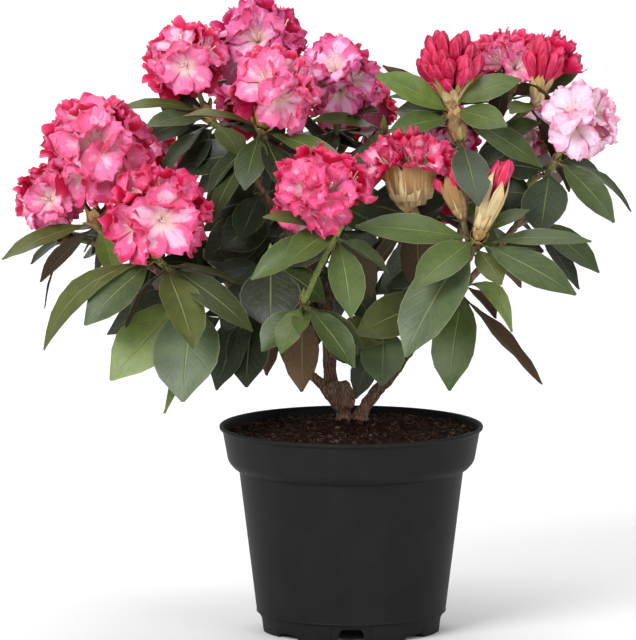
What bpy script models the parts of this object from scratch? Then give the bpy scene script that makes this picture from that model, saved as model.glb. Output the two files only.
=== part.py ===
"""Potted rhododendron in bloom: construction solids.

A round nursery pot filled with peat carries two bare stems.  Each stem forks into tapering boughs, and each
bough ends in a mass of foliage: a woody twig, its whorls of leathery leaves, and a domed truss of flowers or
a cluster of buds on every whorl.

World frame: origin at the centre of the pot's underside, +Z up, -Y the front, +X to the right.
All driving dimensions are in millimetres, and meshes are written in metres.
"""

import math
import random

import bmesh
import bpy
from mathutils import Matrix, Vector
from mathutils.bvhtree import BVHTree

MM = 0.001
CLEARANCE = 0.3
GOLDEN_ANGLE = math.radians(137.5)
UP = Vector((0, 0, 1))
FRONT = Vector((0, -1, 0))

# ---------------------------------------------------------------- pot and soil
POT_HEIGHT = 180.0
RIM_RADIUS = 115.0
LIP_ROLL = 1.4
LIP_TOP = 2.0
LIP_DEPTH = 4.0
LIP_BEVEL = 1.0
WALL = 2.2
BAND_HEIGHT = 37.0
BAND_FOOT_RADIUS = 107.5
BAND_UNDERCUT = 4.0
BAND_ROUNDING = 5.0
SHOULDER_DROP = 3.0
INNER_LEDGE = 6.0
INNER_SHOULDER = 2.0
BODY_TOP_RADIUS = 97.5
BODY_FOOT_RADIUS = 82.0
FOOT_RADIUS = 78.5
FOOT_FLARE = 2.0
FOOT_STEP_HEIGHT = 15.0
FOOT_STEP_ROUNDING = 1.5
FLOOR_BOTTOM = 5.0
FLOOR_TOP = 7.5
FOOT_WALL = 3.0
PAD_RADIUS = 18.0
PAD_FLARE = 2.0
POT_SIDES = 36
DRAIN_NOTCHES = 8
NOTCH_WIDTH = 16.0
NOTCH_TAPER = 1.0
NOTCH_HEIGHT = 4.0
NOTCH_REACH_IN = 7.0
NOTCH_REACH_OUT = 6.0
CUT_OVERRUN = 1.0

SOIL_SLACK = 0.3
SOIL_LEDGE_SLACK = 0.5
SOIL_EDGE_HEIGHT = 171.0
SOIL_SHOULDER_HEIGHT = 176.5
SOIL_CROWN_HEIGHT = 181.0
SOIL_CROWN_CENTRE = (0.0, 23.0)
SOIL_CROWN_RADIUS = 26.0
SOIL_SHOULDER_RADIUS = 66.0
SOIL_SIDES = 28

# ---------------------------------------------------------------- stems and boughs
LIMB_SIDES = 8
LIMB_STATIONS = 3
TWIG_SIDES = 3
TWIG_STATIONS = 2
PATH_STATIONS = 8
STALK_TOP_RADIUS = 1.8
STALK_TAPER = 0.2
STALK_SINK = 2.0
STEM_FOOT = SOIL_CROWN_HEIGHT + CLEARANCE

# name: (way points, radius at each way point)
LIMBS = {
    "trunk_left": (
        [(-6.8, 25, STEM_FOOT), (-8, 25, 190), (-14, 25, 201), (-20, 25, 213)],
        [5.6, 5.4, 7.6, 9.4],
    ),
    "trunk_right": (
        [(7.4, 22, STEM_FOOT), (9, 22, 187), (18, 24, 200), (30, 25, 215)],
        [6.4, 5.4, 5.2, 5.0],
    ),
    "bough_middle": ([(-17, 27, 207), (-19, 28, 235), (-20, 20, 275)], [6.2, 5.6, 4.6]),
    "bough_left": ([(-23, 25, 209), (-44, 20, 229), (-75, 10, 258)], [4.4, 3.8, 3.5]),
    "bough_left_far": ([(-73, 11, 256), (-130, -5, 290), (-180, -20, 325)], [3.4, 3.1, 2.8]),
    "bough_back_left": ([(-74, 11, 256), (-105, 50, 292), (-130, 90, 330)], [3.3, 3.0, 2.7]),
    "bough_top": ([(-20, 21, 272), (-14, 26, 335), (-18, 25, 395)], [4.1, 3.5, 3.0]),
    "bough_top_left": ([(-20, 20, 272), (-48, 10, 335), (-82, 5, 392)], [4.0, 3.5, 3.0]),
    "bough_front": ([(-20, 22, 271), (-34, -30, 284), (-41, -82, 294)], [3.8, 3.3, 2.9]),
    "bough_back": ([(-20, 19, 271), (-26, 60, 308), (-34, 98, 345)], [3.8, 3.3, 2.8]),
    "bough_right": ([(28, 25, 211), (55, 15, 248), (76, 5, 280)], [4.9, 4.5, 4.1]),
    "bough_right_up": ([(75, 6, 277), (92, -4, 335), (101, -6, 390)], [3.9, 3.4, 3.0]),
    "bough_right_far": ([(74, 6, 277), (112, 8, 316), (142, 8, 352)], [3.7, 3.2, 2.8]),
    "bough_right_front": ([(74, 7, 276), (88, -35, 306), (97, -62, 328)], [3.6, 3.2, 2.8]),
    "bough_back_right": ([(74, 4, 276), (92, 50, 308), (108, 84, 335)], [3.6, 3.2, 2.8]),
}

# ---------------------------------------------------------------- shoots
# Each shoot ends in a whorl.  A leaf is (tip offset from the whorl, width, turn), where the turn in degrees
# rolls its upper face to the front; "fill" adds seeded leaves as (count, middle heading, half spread) with
# headings in degrees, 0 = +X and 90 = +Y.
# A truss is (kind, centre of the cluster, radius, flowers).
SHOOTS = {
    "A": {
        "whorl": (-222, -40, 363),
        "truss": ("open", (-220, -40, 432), 50, 13),
        "leaves": [
            ((-80, -20, -30), 26, 25),
            ((-48, 20, -55), 24, -25),
            ((18, -45, -44), 24, 0),
            ((-13, 10, -40), 20, 0),
        ],
        "fill": (3, 80, 80),
    },
    "B": {
        "whorl": (-248, -10, 347),
        "truss": ("open", (-263, -20, 384), 33, 9),
        "leaves": [((-32, -20, -30), 22, 10), ((-19, 0, -64), 20, 0)],
        "fill": (3, 110, 70),
    },
    "C": {
        "whorl": (-168, -95, 339),
        "truss": ("open", (-165, -100, 380), 46, 12),
        "leaves": [
            ((-61, -30, -54), 34, 45),
            ((-95, 0, -80), 26, 20),
            ((32, -45, -72), 38, 0),
            ((83, -20, -61), 32, 30),
            ((74, 35, -29), 26, 10),
            ((-27, 25, -69), 30, 20),
        ],
        "fill": (1, 60, 30),
    },
    "C2": {
        "whorl": (-138, -60, 305),
        "truss": ("none", None, 0, 0),
        "leaves": [((-69, -30, -69), 38, 50), ((-9, -55, -83), 50, 0), ((-26, 5, -104), 26, 0)],
        "fill": (0, 0, 0),
    },
    "T": {
        "whorl": (-83, -30, 294),
        "truss": ("none", None, 0, 0),
        "leaves": [
            ((-34, -10, -76), 30, 30),
            ((-6, -20, -71), 30, 0),
            ((-3, 20, -63), 26, 0),
            ((30, 10, -64), 26, 20),
        ],
        "fill": (0, 0, 0),
    },
    "T2": {
        "whorl": (-70, -48, 333),
        "truss": ("none", None, 0, 0),
        "leaves": [
            ((0, -40, -56), 48, 0),
            ((-42, -20, -62), 30, 30),
            ((48, 5, -40), 30, 30),
            ((-58, 25, -22), 28, 20),
            ((48, 30, 5), 26, 30),
        ],
        "fill": (1, 100, 40),
    },
    "D": {
        "whorl": (-125, 0, 451),
        "truss": ("open", (-147, 0, 498), 38, 11),
        "leaves": [
            ((-82, -20, 8), 24, 0),
            ((-52, -50, -3), 26, 30),
            ((-39, -30, -51), 26, 0),
            ((29, -50, -31), 26, 10),
        ],
        "fill": (3, 130, 70),
    },
    "F": {
        "whorl": (-77, -45, 446),
        "truss": ("open", (-66, -45, 481), 39, 12),
        "leaves": [
            ((-68, -45, 15), 24, 20),
            ((-15, -35, -50), 30, 0),
            ((72, -45, -29), 26, 25),
            ((22, -50, -52), 28, 0),
            ((-48, 5, -62), 30, 20),
        ],
        "fill": (2, 200, 60),
    },
    "E": {
        "whorl": (-78, 45, 473),
        "truss": ("open", (-78, 40, 513), 44, 12),
        "leaves": [((-60, 50, -10), 28, 0), ((40, 60, -20), 28, 0)],
        "fill": (3, 90, 90),
    },
    "G": {
        "whorl": (-12, 20, 443),
        "truss": ("open", (-6, 20, 480), 38, 11),
        "leaves": [((35, -30, 14), 24, 20), ((-20, -45, -40), 30, 0)],
        "fill": (3, 80, 80),
    },
    "X": {
        "whorl": (28, 10, 438),
        "truss": ("none", None, 0, 0),
        "leaves": [((-62, -30, 11), 22, 25), ((15, -35, -55), 28, 0), ((-12, -50, -48), 30, 0)],
        "fill": (3, 60, 70),
    },
    "Q": {
        "whorl": (-41, -110, 303),
        "truss": ("none", None, 0, 0),
        "leaves": [
            ((-20, -20, -42), 22, 20),
            ((43, -30, -53), 26, 30),
            ((52, 0, -43), 22, 20),
            ((-2, 20, -81), 28, 0),
            ((-36, -6, -42), 26, 30),
            ((-4, -30, -24), 15, 0),
        ],
        "fill": (0, 0, 0),
    },
    "H": {
        "whorl": (-9, -130, 373),
        "truss": ("open", (-27, -135, 403), 42, 12),
        "leaves": [
            ((-48, -45, -30), 28, 35),
            ((-77, -20, -45), 26, 35),
            ((-67, -40, 11), 22, 30),
            ((8, -35, -76), 32, 0),
            ((42, 20, -48), 28, 25),
        ],
        "fill": (1, 60, 40),
    },
    "M": {
        "whorl": (52, -60, 378),
        "truss": ("half", (49, -60, 432), 34, 9),
        "leaves": [((-38, 15, -58), 28, 20), ((20, 40, -56), 26, 0)],
        "fill": (2, 110, 60),
    },
    "O": {
        "whorl": (95, -80, 374),
        "truss": ("bud", (86, -78, 400), 17, 1),
        "leaves": [((20, 50, -20), 22, 0)],
        "fill": (0, 0, 0),
    },
    "N": {
        "whorl": (109, -95, 359),
        "truss": ("bud", (121, -95, 395), 18, 1),
        "leaves": [
            ((-63, -55, -98), 46, 15),
            ((-56, -55, -39), 32, 50),
            ((-106, -35, 12), 26, 60),
            ((83, -35, -47), 34, 45),
            ((97, -5, -5), 22, 25),
            ((19, -25, -40), 22, 20),
        ],
        "fill": (0, 0, 0),
    },
    "I": {
        "whorl": (87, -20, 462),
        "truss": ("bud", (85, -20, 506), 24, 11),
        "leaves": [
            ((60, -10, 24), 22, 30),
            ((47, -40, -13), 24, 35),
            ((78, -20, -51), 26, 30),
            ((-67, -30, 30), 26, 45),
            ((-55, -40, -18), 24, 35),
            ((-60, 10, 34), 24, -20),
        ],
        "fill": (2, 100, 50),
    },
    "I2": {
        "whorl": (94, -40, 434),
        "truss": ("none", None, 0, 0),
        "leaves": [((14, -88, -46), 28, 0), ((-38, -10, -50), 28, 20)],
        "fill": (0, 0, 0),
    },
    "J": {
        "whorl": (140, 25, 469),
        "truss": ("half", (136, 30, 506), 26, 8),
        "leaves": [((-8, -30, 33), 20, 0), ((32, -40, 1), 26, -20)],
        "fill": (3, 100, 70),
    },
    "K": {
        "whorl": (160, 0, 463),
        "truss": ("bud", (169, 0, 500), 21, 9),
        "leaves": [((40, 30, 38), 22, 0), ((-30, -45, -14), 24, 20)],
        "fill": (2, 60, 50),
    },
    "L": {
        "whorl": (177, -20, 415),
        "truss": ("open", (200, -25, 450), 38, 11),
        "leaves": [
            ((46, -30, -51), 32, 40),
            ((66, 10, -47), 28, 0),
            ((-4, -45, -28), 26, 0),
            ((-20, -40, -62), 38, 0),
        ],
        "fill": (2, 70, 50),
    },
    "P": {
        "whorl": (160, 30, 360),
        "truss": ("none", None, 0, 0),
        "leaves": [((39, -10, -65), 28, 20), ((55, -20, -45), 26, 20)],
        "fill": (3, 60, 60),
    },
    "R": {
        "whorl": (100, -10, 307),
        "truss": ("none", None, 0, 0),
        "leaves": [
            ((-14, -40, -90), 36, 0),
            ((66, -10, -89), 26, -35),
            ((26, 10, -34), 22, -20),
            ((36, -30, -38), 20, 10),
            ((-48, -20, -44), 30, 25),
        ],
        "fill": (1, 120, 30),
    },
    "S": {
        "whorl": (29, 0, 272),
        "truss": ("none", None, 0, 0),
        "leaves": [
            ((-2, -40, -52), 38, 0),
            ((-34, -30, -18), 34, 30),
            ((-25, 5, -70), 24, 0),
            ((30, -20, -5), 30, 20),
        ],
        "fill": (1, 90, 30),
    },
    "back_left_high": {
        "whorl": (-172, 72, 372),
        "truss": ("open", (-182, 78, 410), 40, 9),
        "leaves": [],
        "fill": (7, 90, 180),
    },
    "back_left_low": {
        "whorl": (-168, 135, 335),
        "truss": ("open", (-182, 156, 360), 36, 9),
        "leaves": [],
        "fill": (7, 90, 180),
    },
    "back_high": {
        "whorl": (-78, 118, 418),
        "truss": ("open", (-84, 128, 458), 40, 9),
        "leaves": [],
        "fill": (7, 90, 180),
    },
    "back_middle": {
        "whorl": (-8, 120, 408),
        "truss": ("open", (2, 132, 446), 40, 9),
        "leaves": [],
        "fill": (7, 90, 180),
    },
    "back_low": {
        "whorl": (-52, 168, 350),
        "truss": ("open", (-56, 192, 380), 38, 9),
        "leaves": [],
        "fill": (7, 90, 180),
    },
    "back_right_high": {
        "whorl": (78, 92, 392),
        "truss": ("open", (78, 98, 428), 36, 9),
        "leaves": [],
        "fill": (7, 90, 180),
    },
    "back_right_far": {
        "whorl": (162, 98, 385),
        "truss": ("open", (176, 106, 420), 36, 9),
        "leaves": [],
        "fill": (7, 90, 180),
    },
    "back_right_low": {
        "whorl": (76, 160, 345),
        "truss": ("open", (80, 182, 374), 38, 9),
        "leaves": [],
        "fill": (7, 90, 180),
    },
}

# mass: list of twigs, each (way points, radii); the last way point of a twig is a whorl.
MASSES = {
    "foliage_left_upper": [
        ([(-178, -19, 323), (-205, -32, 340), "A"], [2.7, 2.6, 2.6]),
        ([(-203, -31, 338), "B"], [2.4, 2.3]),
    ],
    "foliage_left_lower": [
        ([(-74, 10, 257), (-108, -25, 278), "C2"], [3.2, 3.0, 2.9]),
        ([(-137, -59, 304), "C"], [2.9, 2.7]),
    ],
    "foliage_low_left": [
        ([(-75, 9, 257), (-82, -8, 274), "T"], [2.8, 2.6, 2.5]),
        ([(-82, -10, 276), (-76, -32, 304), "T2"], [2.5, 2.4, 2.4]),
    ],
    "foliage_top_left": [
        ([(-81, 5, 390), (-95, 0, 418), "D"], [2.9, 2.7, 2.6]),
        ([(-84, 4, 396), (-82, -20, 422), "F"], [2.8, 2.7, 2.6]),
    ],
    "foliage_top": [([(-81, 6, 390), (-76, 28, 420), (-76, 44, 450), "E"], [2.9, 2.7, 2.6, 2.6])],
    "foliage_top_right": [
        ([(-18, 25, 393), (-16, 22, 420), "G"], [2.9, 2.7, 2.6]),
        ([(-17, 24, 402), (8, 16, 420), "X"], [2.6, 2.5, 2.4]),
    ],
    "foliage_front": [
        ([(-41, -80, 294), (-42, -95, 297), "Q"], [2.8, 2.7, 2.6]),
        ([(-41, -109, 302), (-30, -122, 330), "H"], [2.5, 2.5, 2.6]),
    ],
    "foliage_centre": [([(96, -60, 327), (70, -62, 350), "M"], [2.7, 2.8, 3.2])],
    "foliage_right_front": [
        ([(97, -60, 326), (104, -80, 342), "N"], [2.7, 2.7, 2.7]),
        ([(103, -78, 340), "O"], [2.4, 2.4]),
    ],
    "foliage_bud_left": [
        ([(101, -6, 388), (97, -25, 412), "I2"], [2.9, 2.8, 2.8]),
        ([(94, -39, 433), "I"], [2.8, 2.9]),
    ],
    "foliage_bud_right": [
        ([(101, -6, 388), (118, 8, 425), "K"], [2.8, 2.7, 2.6]),
        ([(120, 8, 428), "J"], [2.6, 2.6]),
    ],
    "foliage_right": [
        ([(141, 8, 350), (160, -5, 382), "L"], [2.7, 2.7, 2.7]),
        ([(143, 8, 353), "P"], [2.5, 2.4]),
    ],
    "foliage_right_low": [([(75, 5, 279), (88, 0, 290), "R"], [3.0, 2.8, 2.7])],
    "foliage_low_centre": [([(28, 24, 212), (24, 12, 240), "S"], [3.0, 2.6, 2.4])],
    "foliage_back_left": [
        ([(-129, 88, 328), (-148, 92, 345), "back_left_high"], [2.6, 2.6, 2.6]),
        ([(-131, 91, 331), "back_left_low"], [2.5, 2.4]),
    ],
    "foliage_back": [
        ([(-34, 96, 343), (-50, 108, 375), "back_high"], [2.7, 2.7, 2.7]),
        ([(-36, 98, 347), (-22, 108, 375), "back_middle"], [2.6, 2.6, 2.6]),
        ([(-36, 98, 345), "back_low"], [2.5, 2.4]),
    ],
    "foliage_back_right": [
        ([(107, 83, 333), (96, 90, 360), "back_right_high"], [2.7, 2.7, 2.7]),
        ([(110, 84, 337), (136, 94, 355), "back_right_far"], [2.6, 2.6, 2.6]),
        ([(108, 85, 335), "back_right_low"], [2.5, 2.4]),
    ],
}

TWIGS = {twig[0][-1]: twig for twigs in MASSES.values() for twig in twigs}

# ---------------------------------------------------------------- leaf and flower sizes
LEAF_LENGTH = (78.0, 104.0)
LEAF_WIDTH_RATIO = 0.32
LEAF_KEEL = 1.5
LEAF_ROOT_KEEL = 2.6
LEAF_ARCH = 0.13
LEAF_STATIONS = ((0.30, 0.74), (0.60, 1.0), (0.86, 0.64))
FILL_STATIONS = ((0.38, 0.92), (0.76, 0.88))
LEAF_CUP = 0.10
LEAF_SINK = 0.5
LEAF_FIRST = 1.0
LEAF_SPACING = 3.0
FILL_DROOP = (5.0, 60.0)
FILL_SWAY = 8.0

# Lengths and radii of flowers, buds and cups are shares of their truss's radius.
SPREAD = {"open": math.radians(116), "half": math.radians(62), "bud": math.radians(38)}
LENGTH = {"open": (0.98, 1.10), "half": (1.4875, 1.8375), "bud": (1.722, 2.10)}
GIRTH = {"open": 0.44, "half": 0.36, "bud": 0.30}
HEART_BACK = {"open": 0.12, "half": 0.9, "bud": 0.9}
CORE_SHARE = 0.42
CUP_BACK = 0.4
CUP_LENGTH = 1.1
CUP_GIRTH = 0.55
CLOSED_CUP_GIRTH = 0.5
CUP_FOOT = 2.0
CUP_SIDES = 6
FLOWER_LOBES = 5
BUD_SIDES = 4
BUD_START = 2.0

# Places along a flower, a bud and a cup, as shares of their own length.
FLOWER_START = 0.22
FLOWER_THROAT = 0.76
FLOWER_RIM = 0.94
BUD_WIDEST = 0.66
CUP_PROFILE = ((0.0, 0.30), (0.30, 0.78), (0.72, 1.0))

# ---------------------------------------------------------------- colours
PLASTIC_BLACK = (0.022, 0.022, 0.024)
PEAT_BROWN = (0.060, 0.028, 0.018)
BARK_BROWN = (0.22, 0.11, 0.075)
LEAF_GREEN = (0.10, 0.20, 0.055)


# ---------------------------------------------------------------- solids as (points, faces)
def loft(rings):
    """Close a row of rings into one solid; a ring of one point is a pole, and an open end gets a cap."""
    points = []
    starts = []
    for ring in rings:
        starts.append(len(points))
        points.extend(Vector(point) for point in ring)
    faces = []
    for below, above, first, second in zip(rings, rings[1:], starts, starts[1:]):
        count = max(len(below), len(above))
        for i in range(count):
            j = (i + 1) % count
            if len(below) == 1:
                faces.append((first, second + i, second + j))
            elif len(above) == 1:
                faces.append((first + j, first + i, second))
            else:
                faces.append((first + i, second + i, second + j))
                faces.append((first + i, second + j, first + j))
    if len(rings[0]) > 1:
        faces.append(tuple(range(len(rings[0]))))
    if len(rings[-1]) > 1:
        faces.append(tuple(starts[-1] + i for i in reversed(range(len(rings[-1])))))
    return points, faces


def frame_about(direction):
    """Two unit vectors square to a direction and to each other."""
    axis = Vector(direction).normalized()
    helper = UP if abs(axis.z) < 0.9 else Vector((1, 0, 0))
    side = helper.cross(axis).normalized()
    return side, axis.cross(side)


def smooth_path(way_points, radii, stations):
    """Catmull-Rom curve through the way points, with radii blended along it."""
    knots = [Vector(point) for point in way_points]
    before = knots[0] * 2 - knots[1]
    after = knots[-1] * 2 - knots[-2]
    knots = [before, *knots, after]
    path = []
    for i in range(len(radii) - 1):
        a, b, c, d = knots[i : i + 4]
        for step in range(stations):
            t = step / stations
            place = b * 2 + (c - a) * t + (a * 2 - b * 5 + c * 4 - d) * t**2 + (b * 3 - a - c * 3 + d) * t**3
            path.append((place / 2, radii[i] + (radii[i + 1] - radii[i]) * t))
    path.append((knots[-2], radii[-1]))
    return path


def tube(way_points, radii, sides, stations, extra=0.0, level_foot=False):
    """Tapering round limb; extra grows it on all sides, and a level foot is cut flat at its own height."""
    path = smooth_path(way_points, radii, stations)
    grown = extra / math.cos(math.pi / sides)
    rings = []
    side = None
    for i, (place, radius) in enumerate(path):
        ahead = path[min(i + 1, len(path) - 1)][0] - path[max(i - 1, 0)][0]
        axis = ahead.normalized()
        if i == 0 and level_foot:
            axis = UP.copy()
        if side is None:
            side = frame_about(axis)[0]
        side = (side - axis * side.dot(axis)).normalized()
        other = axis.cross(side)
        shift = axis * (extra * ((i == len(path) - 1) - (i == 0)))
        ring = []
        for k in range(sides):
            angle = math.tau * k / sides
            ring.append(place + shift + (side * math.cos(angle) + other * math.sin(angle)) * (radius + grown))
        rings.append(ring)
    return loft(rings)


def leaf(root, tip, width, turn=0.0, stations=LEAF_STATIONS, extra=0.0):
    """Arching blade of triangular section, two edges and a keel, that narrows to a root sunk in its twig."""
    root = Vector(root)
    tip = Vector(tip)
    chord = tip - root
    heading = Vector((chord.x, chord.y, 0)).normalized()
    side = UP.cross(heading)
    along = chord.normalized()
    top = (UP * along.dot(heading) - heading * along.z).normalized()
    roll = math.radians(turn) * side.dot(FRONT)
    side, top = side * math.cos(roll) - top * math.sin(roll), top * math.cos(roll) + side * math.sin(roll)
    crest = (root + tip) / 2 + top * (LEAF_ARCH * chord.length)
    start = root - heading * LEAF_SINK

    def centre(t):
        return start * (1 - t) ** 2 + crest * (2 * t * (1 - t)) + tip * t**2

    rings = [[start]]
    for t, share in stations:
        half = width / 2 * share + extra
        middle = centre(t)
        edge_lift = top * (LEAF_CUP * half)
        keel = middle - top * (LEAF_KEEL + (LEAF_ROOT_KEEL - LEAF_KEEL) * (1 - t) ** 2 + extra)
        rings.append([middle + side * half + edge_lift, keel, middle - side * half + edge_lift])
    rings.append([tip + along * extra])
    return loft(rings)


def circle(centre, direction, radius, sides):
    """Points evenly spaced round a circle that faces a direction."""
    side, other = frame_about(direction)
    ring = []
    for k in range(sides):
        angle = math.tau * k / sides
        ring.append(centre + (side * math.cos(angle) + other * math.sin(angle)) * radius)
    return ring


def flower(heart, axis, length, radius, extra=0.0):
    """Funnel-shaped flower of five lobes: a cone with a hollowed face."""
    rim = circle(heart + axis * (length * FLOWER_RIM), axis, radius + extra, FLOWER_LOBES)
    throat = heart + axis * (length * FLOWER_THROAT + extra)
    return loft([[heart + axis * (length * FLOWER_START)], rim, [throat]])


def truss_core(heart, axis, radius, extra=0.0):
    """Middle of a truss, where the flower stalks crowd together: a six-sided double cone."""
    reach = radius * CORE_SHARE + extra
    return loft([[heart - axis * reach], circle(heart, axis, reach, CUP_SIDES), [heart + axis * reach]])


def bud(heart, axis, length, radius, extra=0.0):
    """Closed flower bud: a spindle, thickest past its middle."""
    ring = circle(heart + axis * (length * BUD_WIDEST), axis, radius + extra, BUD_SIDES)
    return loft([[heart + axis * BUD_START], ring, [heart + axis * (length + extra)]])


def scale_cup(foot, axis, length, radius, extra=0.0):
    """Cup of dry bud scales: a flaring stub with a pointed rim."""
    rings = []
    for share, reach in CUP_PROFILE:
        rings.append(circle(foot + axis * (length * share), axis, radius * reach + extra, CUP_SIDES))
    rings.append([foot + axis * length])
    return loft(rings)


# ---------------------------------------------------------------- meshes and Booleans
def mesh_object(name, solid, collection):
    points, faces = solid
    mesh = bpy.data.meshes.new(name)
    mesh.from_pydata([point * MM for point in points], [], faces)
    shape = bmesh.new()
    shape.from_mesh(mesh)
    bmesh.ops.recalc_face_normals(shape, faces=shape.faces)
    shape.to_mesh(mesh)
    shape.free()
    body = bpy.data.objects.new(name, mesh)
    collection.objects.link(body)
    return body


def combine(solid, operands, operation):
    """One Boolean of a solid with a collection of others; returns the result as (points, faces)."""
    group = bpy.data.collections.new("operands")
    bpy.context.scene.collection.children.link(group)
    for i, operand in enumerate(operands):
        mesh_object(f"operand_{i}", operand, group)
    body = mesh_object("body", solid, bpy.context.scene.collection)
    step = body.modifiers.new("combine", "BOOLEAN")
    step.operation = operation
    step.operand_type = "COLLECTION"
    step.collection = group
    step.solver = "MANIFOLD"
    graph = bpy.context.evaluated_depsgraph_get()
    result = bpy.data.meshes.new_from_object(body.evaluated_get(graph))
    for used in [body, *group.objects]:
        bpy.data.objects.remove(used)
    bpy.data.collections.remove(group)
    points = [vertex.co / MM for vertex in result.vertices]
    faces = [tuple(face.vertices) for face in result.polygons]
    bpy.data.meshes.remove(result)
    return points, faces


def keep_largest(solid):
    """Drop loose scraps and fill sealed hollows: only the outer shell of the largest piece stays."""
    points, faces = solid
    parent = list(range(len(points)))

    def find(i):
        while parent[i] != i:
            parent[i] = parent[parent[i]]
            i = parent[i]
        return i

    for face in faces:
        for corner in face[1:]:
            parent[find(corner)] = find(face[0])
    shells = {}
    for face in faces:
        shells.setdefault(find(face[0]), []).append(face)

    def volume(shell):
        total = 0.0
        for face in shell:
            for b, c in zip(face[1:], face[2:]):
                total += points[face[0]].dot(points[b].cross(points[c])) / 6
        return total

    best = max(shells.values(), key=volume)
    used = sorted({corner for face in best for corner in face})
    place = {old: new for new, old in enumerate(used)}
    return [points[i] for i in used], [tuple(place[corner] for corner in face) for face in best]


def material(name, colour, roughness):
    paint = bpy.data.materials.new(name)
    paint.use_nodes = True
    shader = paint.node_tree.nodes["Principled BSDF"]
    shader.inputs["Base Color"].default_value = (*colour, 1.0)
    shader.inputs["Roughness"].default_value = roughness
    shader.inputs["Metallic"].default_value = 0.0
    return paint


def finish(name, solid, paint, smooth=False):
    body = mesh_object(name, solid, bpy.context.scene.collection)
    body.data.materials.append(paint)
    for face in body.data.polygons:
        face.use_smooth = smooth
    return body


# ---------------------------------------------------------------- the plant's space
class Space:
    """Remembers every solid placed so far, so that each node keeps to its own space."""

    def __init__(self):
        self.taken = []

    def add(self, node, solid):
        points, faces = solid
        self.taken.append((node, BVHTree.FromPolygons(points, faces), *corners(points)))

    def is_taken(self, node, solid):
        """Whether a solid would touch one of another node."""
        points, faces = solid
        tree = BVHTree.FromPolygons(points, faces)
        low, high = corners(points)
        for owner, other, other_low, other_high in self.taken:
            if owner == node:
                continue
            if any(low[k] > other_high[k] or other_low[k] > high[k] for k in range(3)):
                continue
            if tree.overlap(other):
                return True
        return False


def corners(points):
    low = [min(point[k] for point in points) for k in range(3)]
    high = [max(point[k] for point in points) for k in range(3)]
    return low, high


# ---------------------------------------------------------------- pot and soil
def lathe(profile, sides):
    """Turn a closed (radius, height) profile about Z; a radius of 0 is a pole."""
    rings = []
    for radius, height in profile:
        if radius == 0:
            rings.append([(0, 0, height)])
            continue
        ring = []
        for k in range(sides):
            angle = math.tau * (k + 0.5) / sides
            ring.append((radius * math.cos(angle), radius * math.sin(angle), height))
        rings.append(ring)
    return loft(rings)


def build_pot(paint):
    band_bottom = POT_HEIGHT - BAND_HEIGHT
    outer = [
        (0, 0.0),
        (PAD_RADIUS, 0.0),
        (PAD_RADIUS + PAD_FLARE, FLOOR_BOTTOM),
        (FOOT_RADIUS - FOOT_WALL, FLOOR_BOTTOM),
        (FOOT_RADIUS - FOOT_WALL, 0.0),
        (FOOT_RADIUS, 0.0),
        (FOOT_RADIUS + FOOT_FLARE, FOOT_STEP_HEIGHT),
        (BODY_FOOT_RADIUS, FOOT_STEP_HEIGHT + FOOT_STEP_ROUNDING),
        (BODY_TOP_RADIUS, band_bottom - SHOULDER_DROP),
        (BAND_FOOT_RADIUS - BAND_UNDERCUT, band_bottom),
        (BAND_FOOT_RADIUS, band_bottom + BAND_ROUNDING),
        (RIM_RADIUS - LIP_ROLL, POT_HEIGHT - LIP_DEPTH),
        (RIM_RADIUS, POT_HEIGHT - LIP_TOP),
        (RIM_RADIUS - LIP_ROLL, POT_HEIGHT),
    ]
    inner = [
        (RIM_RADIUS - LIP_ROLL - WALL, POT_HEIGHT - LIP_BEVEL),
        (BAND_FOOT_RADIUS - WALL, band_bottom + INNER_LEDGE),
        (BODY_TOP_RADIUS - WALL, band_bottom - INNER_SHOULDER),
        (BODY_FOOT_RADIUS - WALL, FLOOR_TOP),
        (0, FLOOR_TOP),
    ]
    shell = lathe(outer + inner, POT_SIDES)
    notches = []
    for k in range(DRAIN_NOTCHES):
        turn = Matrix.Rotation(math.tau * k / DRAIN_NOTCHES, 3, "Z")
        foot_half = NOTCH_WIDTH / 2
        roof_half = foot_half - NOTCH_TAPER
        rings = []
        for reach in (FOOT_RADIUS - NOTCH_REACH_IN, FOOT_RADIUS + NOTCH_REACH_OUT):
            foot = [(reach, -foot_half, -CUT_OVERRUN), (reach, foot_half, -CUT_OVERRUN)]
            roof = [(reach, roof_half, NOTCH_HEIGHT), (reach, -roof_half, NOTCH_HEIGHT)]
            rings.append([turn @ Vector(point) for point in foot + roof])
        notches.append(loft(rings))
    pot = combine(shell, notches, "DIFFERENCE")
    return finish("pot", keep_largest(pot), paint, smooth=True)


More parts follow.
